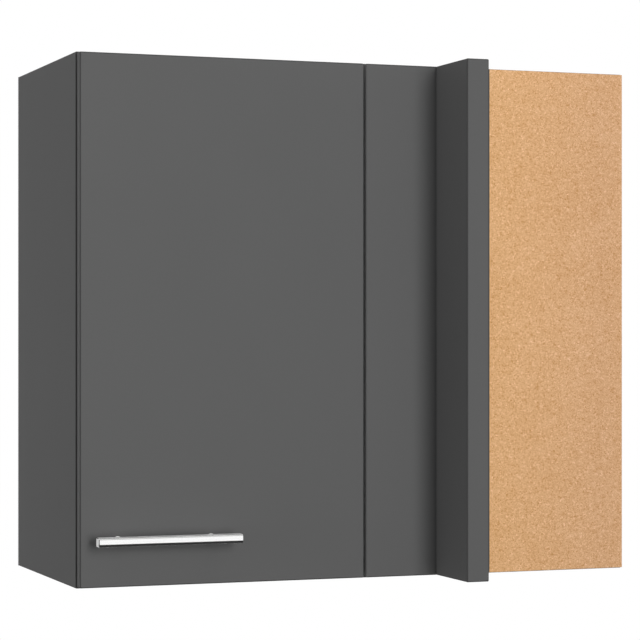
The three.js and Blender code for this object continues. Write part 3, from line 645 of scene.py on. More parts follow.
def moulded(name, tone, roughness, grains_per_metre, depth, **constants):
    """Plastic or rubber with the grain of its mould."""
    material, tree, place = start_material(name)
    grain = stretched_noise(tree, place, even(grains_per_metre), detail=2)
    cloud = stretched_noise(tree, place, MOULD_CLOUDS, detail=2)
    colour = blend(tree, cloud, tint(tone, MOULD_DARKENING), tint(tone))
    sheen = between(tree, grain, roughness - MOULD_GLOSS, roughness + MOULD_GLOSS)
    end_material(tree, colour, sheen, bumped(tree, grain, depth), **constants)
    return material


plastic = moulded(
    "white_plastic", (0.76, 0.76, 0.73),
    roughness=0.45, grains_per_metre=1600, depth=0.02 * MM,
)
rubber = moulded(
    "clear_rubber", (0.80, 0.80, 0.77),
    roughness=0.30, grains_per_metre=900, depth=0.004 * MM,
    Transmission_Weight=0.55, IOR=1.45,
)
print("plastic and rubber")

# %% [markdown]
# ## Shapes in mesh code
#
# Almost everything on a cabinet is one of three shapes: a block with softened edges, a
# turned piece, or an outline pushed along an axis. Each has a helper here that gives back a
# closed mesh. A ready-made cube or cylinder would be quicker, but its edges are perfectly
# sharp, and it is on its soft edges that a real piece catches the light.

# %% Block and turned piece
ACROSS = {"x": (1, 2), "y": (0, 2), "z": (0, 1)}
ALONG = {"x": 0, "y": 1, "z": 2}
FINE_STEPS, ROUND_STEPS, COARSE_STEPS = 48, 32, 24


def bevel(mesh, edges, width, steps):
    """Rounds these edges of a mesh, or chamfers them where there is only one step."""
    bmesh.ops.bevel(
        mesh, geom=edges, offset=width, segments=steps, profile=0.5, affect="EDGES",
    )


def block(low, high, radius=0.0, steps=3):
    """A box between two corners, with all its edges rounded where a radius is given."""
    mesh = bmesh.new()
    low, high = Vector(low), Vector(high)
    place = Matrix.Translation((low + high) / 2) @ Matrix.Diagonal((*(high - low), 1))
    bmesh.ops.create_cube(mesh, size=1, matrix=place)
    if radius:
        bevel(mesh, mesh.edges[:], radius, steps)
    return mesh


def point_on(axis, along, first, second):
    """A point from its place along the axis and its two other coordinates, in order."""
    point = [0.0, 0.0, 0.0]
    point[ALONG[axis]] = along
    point[ACROSS[axis][0]] = first
    point[ACROSS[axis][1]] = second
    return Vector(point)


def turned(profile, axis, centre, steps):
    """A solid turned about an axis. The profile is (radius, place along), axis to axis."""
    mesh = bmesh.new()
    first, second = (centre[index] for index in ACROSS[axis])
    rings = []
    for radius, along in profile:
        count = steps if radius > 0 else 1
        angles = [2 * math.pi * step / steps for step in range(count)]
        rings.append([
            mesh.verts.new(point_on(
                axis, along, first + radius * math.cos(a), second + radius * math.sin(a)))
            for a in angles
        ])
    for one, other in zip(rings, rings[1:]):
        for step in range(steps):
            after = (step + 1) % steps
            corners = [one[step % len(one)], one[after % len(one)],
                       other[after % len(other)], other[step % len(other)]]
            face = list(dict.fromkeys(corners))
            if len(face) > 2:
                mesh.faces.new(face)
    bmesh.ops.recalc_face_normals(mesh, faces=mesh.faces[:])
    return mesh


print("blocks and turned pieces")

# %% Outline with round corners, pushed along an axis


def soft_outline(corners, steps):
    """Points of an outline from (first, second, radius) corners, each radius made an arc."""
    points = []
    for index, (x, y, radius) in enumerate(corners):
        here = Vector((x, y))
        before = (Vector(corners[index - 1][:2]) - here).normalized()
        after = (Vector(corners[(index + 1) % len(corners)][:2]) - here).normalized()
        if radius == 0:
            points.append(here)
            continue
        half = before.angle(after) / 2
        start = here + before * (radius / math.tan(half))
        centre = here + (before + after).normalized() * (radius / math.sin(half))
        sweep = (start - centre).angle_signed(here + after * (radius / math.tan(half)) - centre)
        for step in range(steps + 1):
            arm = (start - centre).copy()
            arm.rotate(Matrix.Rotation(-sweep * step / steps, 2))
            points.append(centre + arm)
    return points


def lofted(axis, rings):
    """A closed mesh between two outlines, each given as its place along the axis and points."""
    mesh = bmesh.new()
    rims = [
        [mesh.verts.new(point_on(axis, along, *point)) for point in points]
        for along, points in rings
    ]
    mesh.faces.new(rims[0])
    mesh.faces.new(rims[1][::-1])
    for index in range(len(rims[0])):
        after = (index + 1) % len(rims[0])
        mesh.faces.new([rims[0][index], rims[1][index], rims[1][after], rims[0][after]])
    bmesh.ops.recalc_face_normals(mesh, faces=mesh.faces[:])
    return mesh


def extruded(points, axis, start, end, softness, steps=2):
    """An outline in the plane across an axis, pushed along it, with softened rims."""
    mesh = lofted(axis, ((start, points), (end, points)))
    mesh.faces.ensure_lookup_table()
    rim_edges = [edge for cap in mesh.faces[:2] for edge in cap.edges]
    bevel(mesh, rim_edges, softness, steps)
    return mesh


print("extruded outlines")

# %% [markdown]
# Cutters take holes and grooves out of a mesh. The face that a cutter leaves carries the
# cutter's own finish, so that a drilled hole shows chipboard. Each piece then takes the
# place of a plain solid, and rides on the same body.

# %% Joining and cutting


def joined(meshes):
    """Several meshes that don't touch, as one."""
    whole = bmesh.new()
    for mesh in meshes:
        part = bpy.data.meshes.new("part")
        mesh.to_mesh(part)
        whole.from_mesh(part)
        bpy.data.meshes.remove(part)
    return whole


def result_of(shape, *tools):
    """The mesh that an object's modifiers give. The object and its tools are used up."""
    result = bmesh.new()
    result.from_mesh(shape.evaluated_get(bpy.context.evaluated_depsgraph_get()).data)
    for used in (shape, *tools):
        data = used.data
        bpy.data.objects.remove(used)
        bpy.data.meshes.remove(data)
    return result


def combined(body, tool, operation, finishes, tool_finish=0):
    """The body with the tool cut away or added. New faces take the tool's finish."""
    for face in tool.faces:
        face.material_index = tool_finish
    body_object = as_object(body, "body", finishes)
    tool_object = as_object(tool, "tool", finishes)
    step = body_object.modifiers.new("step", "BOOLEAN")
    step.operation = operation
    step.solver = "EXACT"
    step.object = tool_object
    return result_of(body_object, tool_object)


print("cutters ready")

# %% Finished pieces
SMOOTH_BELOW = math.radians(38)
SLOT_OF = {part["node"]: part["material_slot"] for part in frame["record"]["subparts"]}


def piece(name, mesh, finishes, body):
    """A finished piece: smooth where it is round, crisp where it isn't, riding on a body."""
    made = as_object(mesh, name, finishes)
    for polygon in made.data.polygons:
        polygon.use_smooth = True
    made.data.set_sharp_from_angle(angle=SMOOTH_BELOW)
    normals = made.modifiers.new("normals", "WEIGHTED_NORMAL")
    normals.keep_sharp = True
    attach(made, body)
    return made


def dress(node, kind, mesh, finishes):
    """A piece in place of one node of the frame, on its body."""
    body = frame["nodes"][node]["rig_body"]
    made = piece(f"{node}_{kind}", mesh, finishes, body)
    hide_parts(node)


print("pieces for", len(SLOT_OF), "nodes to come")

# %% [markdown]
# ## Boards
#
# A flat-pack board is sawn, faced and then banded on the edges that show. So each board
# here says which of its edges have a band. A scraper rounds the band by a millimetre and a
# half, and that rounding is painted darker, as painted shade, so a fine dark line runs all
# round the board. Sawn edges stay almost sharp.
#
# One bevel for the whole block would round them all alike. So each edge gets its own bevel
# weight, and both kinds of edge can meet in one corner. The bevel runs first, and then each
# face gets its finish from its direction. A side that has to look different says so: the
# ends of the top and bottom, which close against the sides, and the two edges in the joint
# beside the door, which carry painted light: they are painted paler, so that the narrow
# joint, where little light reaches, shows grey.

# %% Sides and rounded edges
BAND_RADIUS = 1.5 * MM
BAND_STEPS = 3
SQUARE_ON = 0.999


def facing_side(face, axes="xyz"):
    """The side of the board that a face looks to most, such as x- or z+."""
    axis = max(axes, key=lambda one: abs(face.normal[ALONG[one]]))
    return axis + ("+" if face.normal[ALONG[axis]] > 0 else "-")


def square_side(face):
    """The side that a face looks straight at, or None where the face slants."""
    side = facing_side(face)
    return side if abs(face.normal[ALONG[side[0]]]) > SQUARE_ON else None


def softened(mesh):
    """The mesh with each edge rounded by its own share of the band's radius."""
    shape = as_object(mesh, "shape", [])
    rounding = shape.modifiers.new("bevel", "BEVEL")
    rounding.limit_method = "WEIGHT"
    rounding.width = BAND_RADIUS
    rounding.segments = BAND_STEPS
    return result_of(shape)


print("bands rounded by", round(BAND_RADIUS / MM, 1), "mm")

# %% Board builder
SAWN_SHARE = 0.1
FACE, BAND, RAW, ROUNDING_PAINTED_SHADE, JOINT_PAINTED_LIGHT = range(5)
BOARD_FINISHES = [facing, edge_band, raw_edge, band_rounding_painted_shade, painted_light_edge_band]


def board_mesh(node, banded, own):
    low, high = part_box(node)
    mesh = block(low, high)
    mesh.normal_update()
    flat = min("xyz", key=lambda axis: (high - low)[ALONG[axis]])
    flat_sides = {flat + "-", flat + "+"}
    edge_axes = [axis for axis in "xyz" if axis != flat]
    share = mesh.edges.layers.float.new("bevel_weight_edge")
    for edge in mesh.edges:
        sides = {facing_side(face) for face in edge.link_faces}
        edge[share] = 1 if sides <= banded | flat_sides else SAWN_SHARE
    mesh = softened(mesh)
    mesh.normal_update()
    for face in mesh.faces:
        side = facing_side(face, edge_axes)
        square = square_side(face)
        if square in flat_sides:
            face.material_index = FACE
        elif side in own:
            face.material_index = own[side] if square else BAND
        elif square:
            face.material_index = BAND if side in banded else RAW
        # The rounded faces of a band take the darker painted-shade finish.
        elif side in banded:
            face.material_index = ROUNDING_PAINTED_SHADE
    return mesh


def board(node, banded, cuts=(), own=None):
    """A board with its banded sides, its cutters, and the sides with a finish of their own."""
    mesh = board_mesh(node, banded, own or {})
    if cuts:
        mesh = combined(mesh, joined(cuts), "DIFFERENCE", BOARD_FINISHES, RAW)
    dress(node, "board", mesh, BOARD_FINISHES)


print("board builder ready")

# %% [markdown]
# ## Carcass
#
# Two sides, a bottom and a top make the box. The sides have the groove for the back panel
# and rows of blind holes for the shelf pins. The bottom and top have the groove and the
# pockets of the cam fittings. All holes are drilled where the pins and cams of the frame
# are, so they can't drift apart.

# %% Holes and grooves
PIN_HOLE_RADIUS = 2.7 * MM
PIN_HOLE_DEPTH = 9.0 * MM
PIN_HOLE_PITCH = 32.0 * MM
HOLE_STEPS = (-1, 0, 1)
GROOVE_DEPTH = 7.0 * MM
PLAY = 0.3 * MM
PAST = 1.0 * MM
SIDES = ("left", "right")
LEVELS = ("lower", "upper")
ROWS = ("front", "rear")
CORNERS = ("left_front", "left_rear", "right_front", "right_rear")

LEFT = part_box("side_panel_left")
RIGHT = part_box("side_panel_right")
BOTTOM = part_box("bottom_panel")
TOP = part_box("top_panel")
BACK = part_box("back_panel")


def plug(axis, radius, start, end, centre, steps=ROUND_STEPS):
    """A plain round cutter or bar."""
    return turned([(0, start), (radius, start), (radius, end), (0, end)], axis, centre, steps)


def middle(node):
    low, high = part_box(node)
    return (low + high) / 2


def pin_axis(node):
    """Y and Z of a shelf pin's axis: half its width above its lowest point."""
    low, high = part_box(node)
    return middle(node).y, low.z + (high - low).y / 2


def pin_holes(side, face, inward):
    """The blind holes in one side panel, on and beside each of its shelf pins."""
    cuts = []
    for level in LEVELS:
        for row in ROWS:
            y, z = pin_axis(f"shelf_pin_{level}_{side}_{row}")
            for step in HOLE_STEPS:
                at = Vector((0, y, z + step * PIN_HOLE_PITCH))
                start = face - inward * PIN_HOLE_DEPTH
                cuts.append(plug("x", PIN_HOLE_RADIUS, start, face + inward * PAST, at))
    return cuts


def back_groove(axis, face, inward):
    """The groove for the back panel, in the face of a board that looks inwards."""
    low = Vector((LEFT[0].x - PAST, BACK[0].y - PLAY, BOTTOM[0].z - PAST))
    high = Vector((RIGHT[1].x + PAST, BACK[1].y + PLAY, TOP[1].z + PAST))
    index = ALONG[axis]
    low[index], high[index] = sorted((face - inward * GROOVE_DEPTH, face + inward * PAST))
    return block(low, high)


print(len(HOLE_STEPS) * len(LEVELS) * len(ROWS), "pin holes to a side")

# %% Carcass boards


def side_panel(side, face, inward):
    cuts = [back_groove("x", face, inward), *pin_holes(side, face, inward)]
    board(f"side_panel_{side}", {"y-", "z+", "z-"}, cuts)


def level_panel(level, face, inward):
    cuts = [back_groove("z", face, inward)]
    for corner in CORNERS:
        cam = f"cam_{level}_{corner}"
        low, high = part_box(cam)
        radius = (high - low).x / 2 + PLAY
        depth = (high - low).z + PLAY
        cuts.append(plug("z", radius, face - inward * depth, face + inward * PAST, middle(cam)))
    board(f"{level}_panel", {"y-"}, cuts, own={"x-": BAND, "x+": BAND})


side_panel("left", LEFT[1].x, 1)
side_panel("right", RIGHT[0].x, -1)
level_panel("bottom", BOTTOM[1].z, 1)
level_panel("top", TOP[0].z, -1)
for node in ("hinge_stile", "filler_batten", "joint_batten", "shelf_lower", "shelf_upper"):
    board(node, {"y-"})
print("carcass boards, uprights and shelves")

# %% [markdown]
# ## Back panel
#
# The hardboard slides in its grooves. Its front is printed, its rear is bare fibre, and two
# windows let the hooks of the wall hangers through. The windows are cut round the frame's
# own hooks, with room for the whole of their travel.

# %% Back panel
WINDOW_BESIDE_HOOK = 2.0 * MM
WINDOW_ABOVE_HOOK = 20.0 * MM
WINDOW_BELOW_HOOK = 10.0 * MM
HOOK_LIP_DROP = 18.0 * MM
HARDBOARD_EDGE = 0.2 * MM


def sheet_mesh(node, faced, edge, steps):
    """A sheet with finish 0 on its faced sides and finish 1 on all others."""
    mesh = block(*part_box(node), edge, steps)
    mesh.normal_update()
    for face in mesh.faces:
        face.material_index = 0 if square_side(face) in faced else 1
    return mesh


def back_windows():
    cuts = []
    for side in SIDES:
        low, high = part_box(f"hanger_hook_{side}")
        bottom = high.z - HOOK_LIP_DROP - WINDOW_BELOW_HOOK
        cuts.append(block(
            (low.x - WINDOW_BESIDE_HOOK, BACK[0].y - PAST, bottom),
            (high.x + WINDOW_BESIDE_HOOK, BACK[1].y + PAST, high.z + WINDOW_ABOVE_HOOK),
        ))
    return cuts


def back_panel():
    finishes = [hardboard_print, hardboard_rear]
    mesh = sheet_mesh("back_panel", {"y-"}, HARDBOARD_EDGE, 1)
    mesh = combined(mesh, joined(back_windows()), "DIFFERENCE", finishes, 1)
    dress("back_panel", "sheet", mesh, finishes)


back_panel()
print("back panel with two windows")

# %% [markdown]
# ## Fronts
#
# The door, the filler beside it and the return are graphite boards with bands on all four
# edges, so the board builder makes them. The door is drilled for the two hinge cups and the
# two handle screws. The blind panel is raw all over, because the next unit will hide it.
# Its edges are sawn and hardly rounded, so it is made as a plain sheet, like the hardboard.

# %% Door, filler, return and blind panel
SCREW_HOLE_RADIUS = 2.3 * MM
CUP_HOLE_INSIDE_RIM = 1.2 * MM
CUP_STEPS = 64
RAW_EDGE_ROUNDING = 0.4 * MM
ALL_ROUND = {"x-", "x+", "y-", "y+", "z-", "z+"}
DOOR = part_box("door_panel")


def door_holes():
    cuts = []
    back = DOOR[1].y + PAST
    for level in LEVELS:
        cup = f"hinge_cup_{level}"
        low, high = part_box(cup)
        radius = (high.x - low.x) / 2 - CUP_HOLE_INSIDE_RIM
        cuts.append(plug("y", radius, low.y - PLAY, back, middle(cup), CUP_STEPS))
    for side in SIDES:
        at = middle(f"handle_screw_{side}")
        cuts.append(plug("y", SCREW_HOLE_RADIUS, DOOR[0].y - PAST, back, at))
    return cuts


# The door's right edge and the filler's left edge face each other in the joint, and carry the
# paler painted-light band.
board("door_panel", ALL_ROUND, door_holes(), own={"x+": JOINT_PAINTED_LIGHT})
board("filler_panel", ALL_ROUND, own={"x-": JOINT_PAINTED_LIGHT})
board("return_panel", ALL_ROUND)
blind_mesh = sheet_mesh("blind_panel", {"y-", "y+"}, RAW_EDGE_ROUNDING, 2)
dress("blind_panel", "board", blind_mesh, [raw_face, raw_edge])
print("four fronts")

# %% [markdown]
# ## Handle
#
# The bar is drawn steel: a block whose front edges are rounded for the fingers, the lower
# one most, and whose rear edges are only eased. A plain bevel would round all four alike,
# so the section is drawn once and pushed along the bar, as the die does it. Front and back
# are brushed, top and bottom are satin, and the blasted ends have a fine chamfer. The two
# posts are turned, satin like the top, and widen to a foot on the door.

# %% Handle bar
BAR_SMALL_RADIUS = 1.5 * MM
BAR_UPPER_RADIUS = 3.0 * MM
BAR_LOWER_RADIUS = 5.0 * MM
BAR_END_CHAMFER = 0.9 * MM
BAR_ARC_STEPS = 10
BAR_FLAT = 0.99
BRUSHED, BLASTED, SATIN = range(3)
BAR_FINISHES = [steel, blasted_steel, satin_steel]


def handle_bar():
    low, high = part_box("handle_bar")
    section = soft_outline([
        (low.y, low.z, BAR_LOWER_RADIUS),
        (high.y, low.z, BAR_SMALL_RADIUS),
        (high.y, high.z, BAR_SMALL_RADIUS),
        (low.y, high.z, BAR_UPPER_RADIUS),
    ], BAR_ARC_STEPS)
    mesh = extruded(section, "x", low.x, high.x, BAR_END_CHAMFER, 1)
    mesh.normal_update()
    for face in mesh.faces:
        if abs(face.normal.x) > BAR_FLAT:
            face.material_index = BLASTED
        elif abs(face.normal.z) > BAR_FLAT:
            face.material_index = SATIN
        else:
            face.material_index = BRUSHED
    dress("handle_bar", "steel", mesh, BAR_FINISHES)


handle_bar()
print("handle bar")

# %% Handle posts
POST_FOOT_RADIUS = 5.5 * MM
POST_FOOT = 4.0 * MM
FOOT_RIM = 0.8 * MM
FOOT_EDGE = 0.2 * MM
FOOT_STEPS = 6


def handle_post(side):
    node = f"handle_post_{side}"
    low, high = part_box(node)
    radius = (high - low).x / 2
    foot = POST_FOOT_RADIUS
    start = high.y - POST_FOOT
    profile = [(0, low.y), (radius, low.y), (radius, start)]
    for step in range(1, FOOT_STEPS + 1):
        angle = math.radians(90 / FOOT_STEPS * step)
        profile.append((
            radius + (foot - radius) * (1 - math.cos(angle)),
            start + (POST_FOOT - FOOT_RIM) * math.sin(angle),
        ))
    profile += [(foot, high.y - FOOT_EDGE), (foot - FOOT_EDGE, high.y), (0, high.y)]
    dress(node, "turned", turned(profile, "y", middle(node), FINE_STEPS), [satin_steel])


for side in SIDES:
    handle_post(side)
print("two posts")

# %% [markdown]
# ## Screws
#
# The screws of the fittings are all one kind: a low round head with a cross recess. The
# plain screw of the frame gives the place, width and length. The head is turned with a
# softened rim, and the recess is cut out, with walls that taper like the driver's tip. A
# black cross painted on the head would be simpler, but it would stay flat in slanting light.

# %% Cross recess
CROSS_PROUD = 0.2 * MM
# Half the length and half the width of the cross's arms, as shares of its reach.
CROSS_MOUTH = (1.04, 0.24)
CROSS_FLOOR = (0.6, 0.12)
SQUARE_CORNERS = ((-1, -1), (1, -1), (1, 1), (-1, 1))
HEAD_STEPS = 40


def cross_recess(axis, face, inward, centre, reach, depth):
    """Two tapered bars that cross, sunk into a screw head."""
    first, second = (centre[index] for index in ACROSS[axis])
    levels = ((face - inward * CROSS_PROUD, CROSS_MOUTH), (face + inward * depth, CROSS_FLOOR))
    bars = []
    for order in (1, -1):
        rings = []
        for along, shares in levels:
            u, v = (reach * share for share in shares[::order])
            rings.append((along, [(first + i * u, second + j * v) for i, j in SQUARE_CORNERS]))
        bars.append(lofted(axis, rings))
    return combined(bars[0], bars[1], "UNION", [nickel])


def crossed(profile, axis, face, inward, centre, reach, depth, finish, steps=HEAD_STEPS):
    """A turned head with a cross recess. The profile is (radius, depth below the face)."""
    body = turned([(r, face + inward * down) for r, down in profile], axis, centre, steps)
    recess = cross_recess(axis, face, inward, centre, reach, depth)
    return combined(body, recess, "DIFFERENCE", [finish])


print("cross recess")

# %% Screws of the fittings
HEAD_DEPTH = 2.0 * MM
HEAD_SOFT = 0.45 * MM
HEAD_EDGE = 0.1 * MM
TIP_LENGTH = 0.8 * MM
TIP_SHARE = 0.6
REACH_SHARE = 0.55
RECESS_SHARE = 0.6
HANDLE_SHANK = 2.0 * MM
ARM_SHANK = 1.8 * MM
THICK_SHANK = 2.5 * MM


def screw_mesh(axis, face, inward, centre, head, shank, length):
    """A screw with these radii. Inward is +1 where the shank points up the axis."""
    # The first four points are the flat top and its soft rim, the next two the under side.
    profile = [
        (0, 0), (head - HEAD_SOFT * 1.6, 0), (head - HEAD_SOFT * 0.5, HEAD_SOFT * 0.4),
        (head, HEAD_SOFT * 1.3), (head, HEAD_DEPTH - HEAD_EDGE),
        (head - HEAD_EDGE, HEAD_DEPTH), (shank, HEAD_DEPTH),
        (shank, length - TIP_LENGTH), (shank * TIP_SHARE, length), (0, length),
    ]
    reach, depth = head * REACH_SHARE, HEAD_DEPTH * RECESS_SHARE
    return crossed(profile, axis, face, inward, centre, reach, depth, nickel)


def frame_screw(node, axis, inward, shank):
    low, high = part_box(node)
    index = ALONG[axis]
    face = low[index] if inward > 0 else high[index]
    head = (high - low)[ACROSS[axis][1]] / 2
    length = (high - low)[index]
    mesh = screw_mesh(axis, face, inward, middle(node), head, shank, length)
    dress(node, "turned", mesh, [nickel])


for side in SIDES:
    frame_screw(f"handle_screw_{side}", "y", -1, HANDLE_SHANK)
    frame_screw(f"hanger_depth_screw_{side}", "y", 1, THICK_SHANK)
    frame_screw(f"hanger_height_screw_{side}", "y", 1, THICK_SHANK)
for level in LEVELS:
    frame_screw(f"hinge_arm_screw_{level}", "x", 1, ARM_SHANK)
    for row in ("a", "b"):
        frame_screw(f"hinge_plate_screw_{level}_{row}", "x", 1, THICK_SHANK)
print("twelve screws")

# %% [markdown]
# ## Shelf pins, cam fittings and bumpers
#
# A shelf pin is turned steel: a stem in the side panel, a thin collar on its face and a peg
# under the shelf. A cam is a casting, sunk flush in its board, with a ring groove and a
# cross for the driver. A bumper is a little dome that keeps the door from knocking on the
# carcass. All three are round, so each is one profile turned about its axis.

# %% Shelf pins
PIN_RADIUS = 2.4 * MM
PIN_EDGE = 0.4 * MM
PIN_NOSE = 0.6 * MM
COLLAR_RADIUS = 4.4 * MM
COLLAR = 0.8 * MM
COLLAR_SQUARE_SHARE = 0.6
COLLAR_EDGE = 0.3 * MM


def shelf_pin(node, face, inward):
    low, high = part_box(node)
    start, end = (low.x, high.x) if inward > 0 else (high.x, low.x)
    collar_end = face + inward * COLLAR
    profile = [
        (0, start), (PIN_RADIUS - PIN_EDGE, start), (PIN_RADIUS, start + inward * PIN_EDGE),
        (PIN_RADIUS, face), (COLLAR_RADIUS, face),
        (COLLAR_RADIUS, face + inward * COLLAR * COLLAR_SQUARE_SHARE),
        (COLLAR_RADIUS - COLLAR_EDGE, collar_end), (PIN_RADIUS, collar_end),
        (PIN_RADIUS, end - inward * PIN_NOSE), (PIN_RADIUS - PIN_NOSE, end), (0, end),
    ]
    centre = Vector((0, *pin_axis(node)))
    dress(node, "turned", turned(profile, "x", centre, ROUND_STEPS), [nickel])


for level in LEVELS:
    for row in ROWS:
        shelf_pin(f"shelf_pin_{level}_left_{row}", LEFT[1].x, 1)
        shelf_pin(f"shelf_pin_{level}_right_{row}", RIGHT[0].x, -1)
print("eight pins")

# %% Cam fittings
CAM_GROOVE_INNER = 1.6 * MM
CAM_GROOVE_OUTER = 0.7 * MM
CAM_GROOVE_SLOPE = 0.2 * MM
CAM_GROOVE_DEPTH = 0.25 * MM
CAM_EDGE = 0.3 * MM
CAM_CROSS_REACH = 3.75 * MM
CAM_CROSS_DEPTH = 2.0 * MM


def cam(node, face, inward):
    low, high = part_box(node)
    radius = (high - low).x / 2
    depth = (high - low).z
    profile = [
        (0, 0), (radius - CAM_GROOVE_INNER, 0),
        (radius - CAM_GROOVE_INNER + CAM_GROOVE_SLOPE, CAM_GROOVE_DEPTH),
        (radius - CAM_GROOVE_OUTER - CAM_GROOVE_SLOPE, CAM_GROOVE_DEPTH),
        (radius - CAM_GROOVE_OUTER, 0), (radius - CAM_EDGE, 0),
        (radius, CAM_EDGE), (radius, depth), (0, depth),
    ]
    mesh = crossed(
        profile, "z", face, -inward, middle(node),
        CAM_CROSS_REACH, CAM_CROSS_DEPTH, zinc, FINE_STEPS,
    )
    dress(node, "casting", mesh, [zinc])


for corner in CORNERS:
    cam(f"cam_bottom_{corner}", BOTTOM[1].z, 1)
    cam(f"cam_top_{corner}", TOP[0].z, -1)
print("eight cams")

# %% Bumpers
DOME_STEPS = 9


def bumper(node):
    low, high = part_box(node)
    radius = (high - low).x / 2
    height = (high - low).y
    profile = [(0, low.y), (radius, low.y)]
    for step in range(DOME_STEPS):
        angle = math.radians(90 / DOME_STEPS * step)
        profile.append((radius * math.cos(angle), low.y + height * math.sin(angle)))
    profile.append((0, high.y))
    dress(node, "dome", turned(profile, "y", middle(node), ROUND_STEPS), [rubber])


for level in LEVELS:
    bumper(f"door_bumper_{level}")
print("two bumpers")

# %% [markdown]
# ## Hinges
#
# The cup is pressed from sheet: a round bowl with a rolled rim and two ears for its screws.
# The bowl is turned, wall and all. The ears are one outline right across the cup, with room
# cut out for the bowl, so that they join its rim cleanly.

# %% Bowl of the hinge cup
CUP_WALL = 0.8 * MM
CUP_ROUND, CUP_BEND = 1.8 * MM, 0.5 * MM
INNER_ROUND, INNER_BEND = 1.4 * MM, 0.4 * MM
RIM_EDGE = 0.4 * MM
# Points of the rolled rim: underneath, in and up from its corner, and at the mouth, out and
# down from its corner.
UNDER_RIM = ((0.2 * MM, 0), (0, 0.3 * MM))
MOUTH = ((0.6 * MM, 0), (0.15 * MM, 0.2 * MM), (0, 0.7 * MM))
FLANGE_LIP = 1.5 * MM
BOWL_STEPS = 72


def bowl_mesh(floor, rim, top, rim_radius, centre):
    radius = rim_radius - FLANGE_LIP
    inner = radius - CUP_WALL
    inside = floor + CUP_WALL
    return turned([
        (0, floor), (radius - CUP_ROUND, floor), (radius - CUP_BEND, floor + CUP_BEND),
        (radius, floor + CUP_ROUND), (radius, rim),
        *((rim_radius - into, rim + up) for into, up in UNDER_RIM),
        (rim_radius, top - RIM_EDGE), (rim_radius - RIM_EDGE, top),
        *((inner + out, top - down) for out, down in MOUTH),
        (inner, inside + INNER_ROUND), (inner - INNER_BEND, inside + INNER_BEND),
        (inner - INNER_ROUND, inside), (0, inside),
    ], "y", centre, BOWL_STEPS)


print("bowl with a wall of", round(CUP_WALL / MM, 1), "mm")

# %% Hinge cup with its ears and screws
FLANGE = 1.0 * MM
EAR_WIDTH = 12.0 * MM
EAR_CORNER = 4.8 * MM
EAR_EDGE = 0.25 * MM
EAR_STEPS = 8
CUP_SCREW_OFFSET = 9.5 * MM
CUP_SCREW_REACH = 24.0 * MM
CUP_SCREW_HEAD = 3.6 * MM
CUP_SCREW_SHANK = 1.6 * MM
CUP_SCREW_LENGTH = 12.0 * MM
CUP_SCREW_PROUD = 0.7 * MM


def hinge_cup(level):
    node = f"hinge_cup_{level}"
    low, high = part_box(node)
    rim_radius = high.x - (low.x + high.x) / 2
    centre = middle(node)
    rim, top = high.y - FLANGE, high.y
    ear_x = centre.x - CUP_SCREW_OFFSET
    half = (high - low).z / 2
    outline = soft_outline([
        (ear_x + i * EAR_WIDTH / 2, centre.z + j * half, EAR_CORNER) for i, j in SQUARE_CORNERS
    ], EAR_STEPS)
    ears = extruded(outline, "y", rim, top, EAR_EDGE)
    room_radius = rim_radius - FLANGE_LIP - CUP_WALL + PLAY
    room = plug("y", room_radius, rim - PAST, top + PAST, centre, BOWL_STEPS)
    ears = combined(ears, room, "DIFFERENCE", [nickel])
    bowl = bowl_mesh(low.y, rim, top, rim_radius, centre)
    dress(node, "pressed", combined(bowl, ears, "UNION", [nickel]), [nickel])
    for sign, row in ((-1, "a"), (1, "b")):
        at = Vector((ear_x, 0, centre.z + sign * CUP_SCREW_REACH))
        screw = screw_mesh(
            "y", top + CUP_SCREW_PROUD, -1, at,
            CUP_SCREW_HEAD, CUP_SCREW_SHANK, CUP_SCREW_LENGTH,
        )
        piece(f"cup_screw_{level}_{row}", screw, [nickel], "door")


for level in LEVELS:
    hinge_cup(level)
print("two cups, four cup screws")

# %% [markdown]
# The arm is a bent strip that reaches out of the carcass, dips into the cup and ends in an
# eye round the pin. Its outline follows the same way round the door's edge as the plain
# solid: from the pin across the cup, up out of it, and slanting over to the bar on the
# mounting plate. The bends are arcs, and the eye is added round the pin. The plate is a
# casting, a thin wing with a raised spine, made of two softened blocks.

# %% Hinge arm
ARM_SHEET = 2.2 * MM
ARM_BAR = 3.0 * MM
ARM_BEND = 2.4 * MM
ARM_NECK_BEND = 1.2 * MM
ARM_OUTER_BEND = 1.5 * MM
ARM_INNER_BEND = 1.0 * MM
ARM_TAIL_CORNER = 0.8 * MM
ARM_CUP_BEND = 0.5 * MM
ARM_EDGE = 0.35 * MM
ARM_UPRIGHT_END = 7.0 * MM
ARM_BAR_FRONT = 16.0 * MM
EYE_RADIUS = 2.0 * MM
PIN_PLAY = 0.3 * MM
BEND_STEPS = 5
CARCASS_FRONT = LEFT[0].y


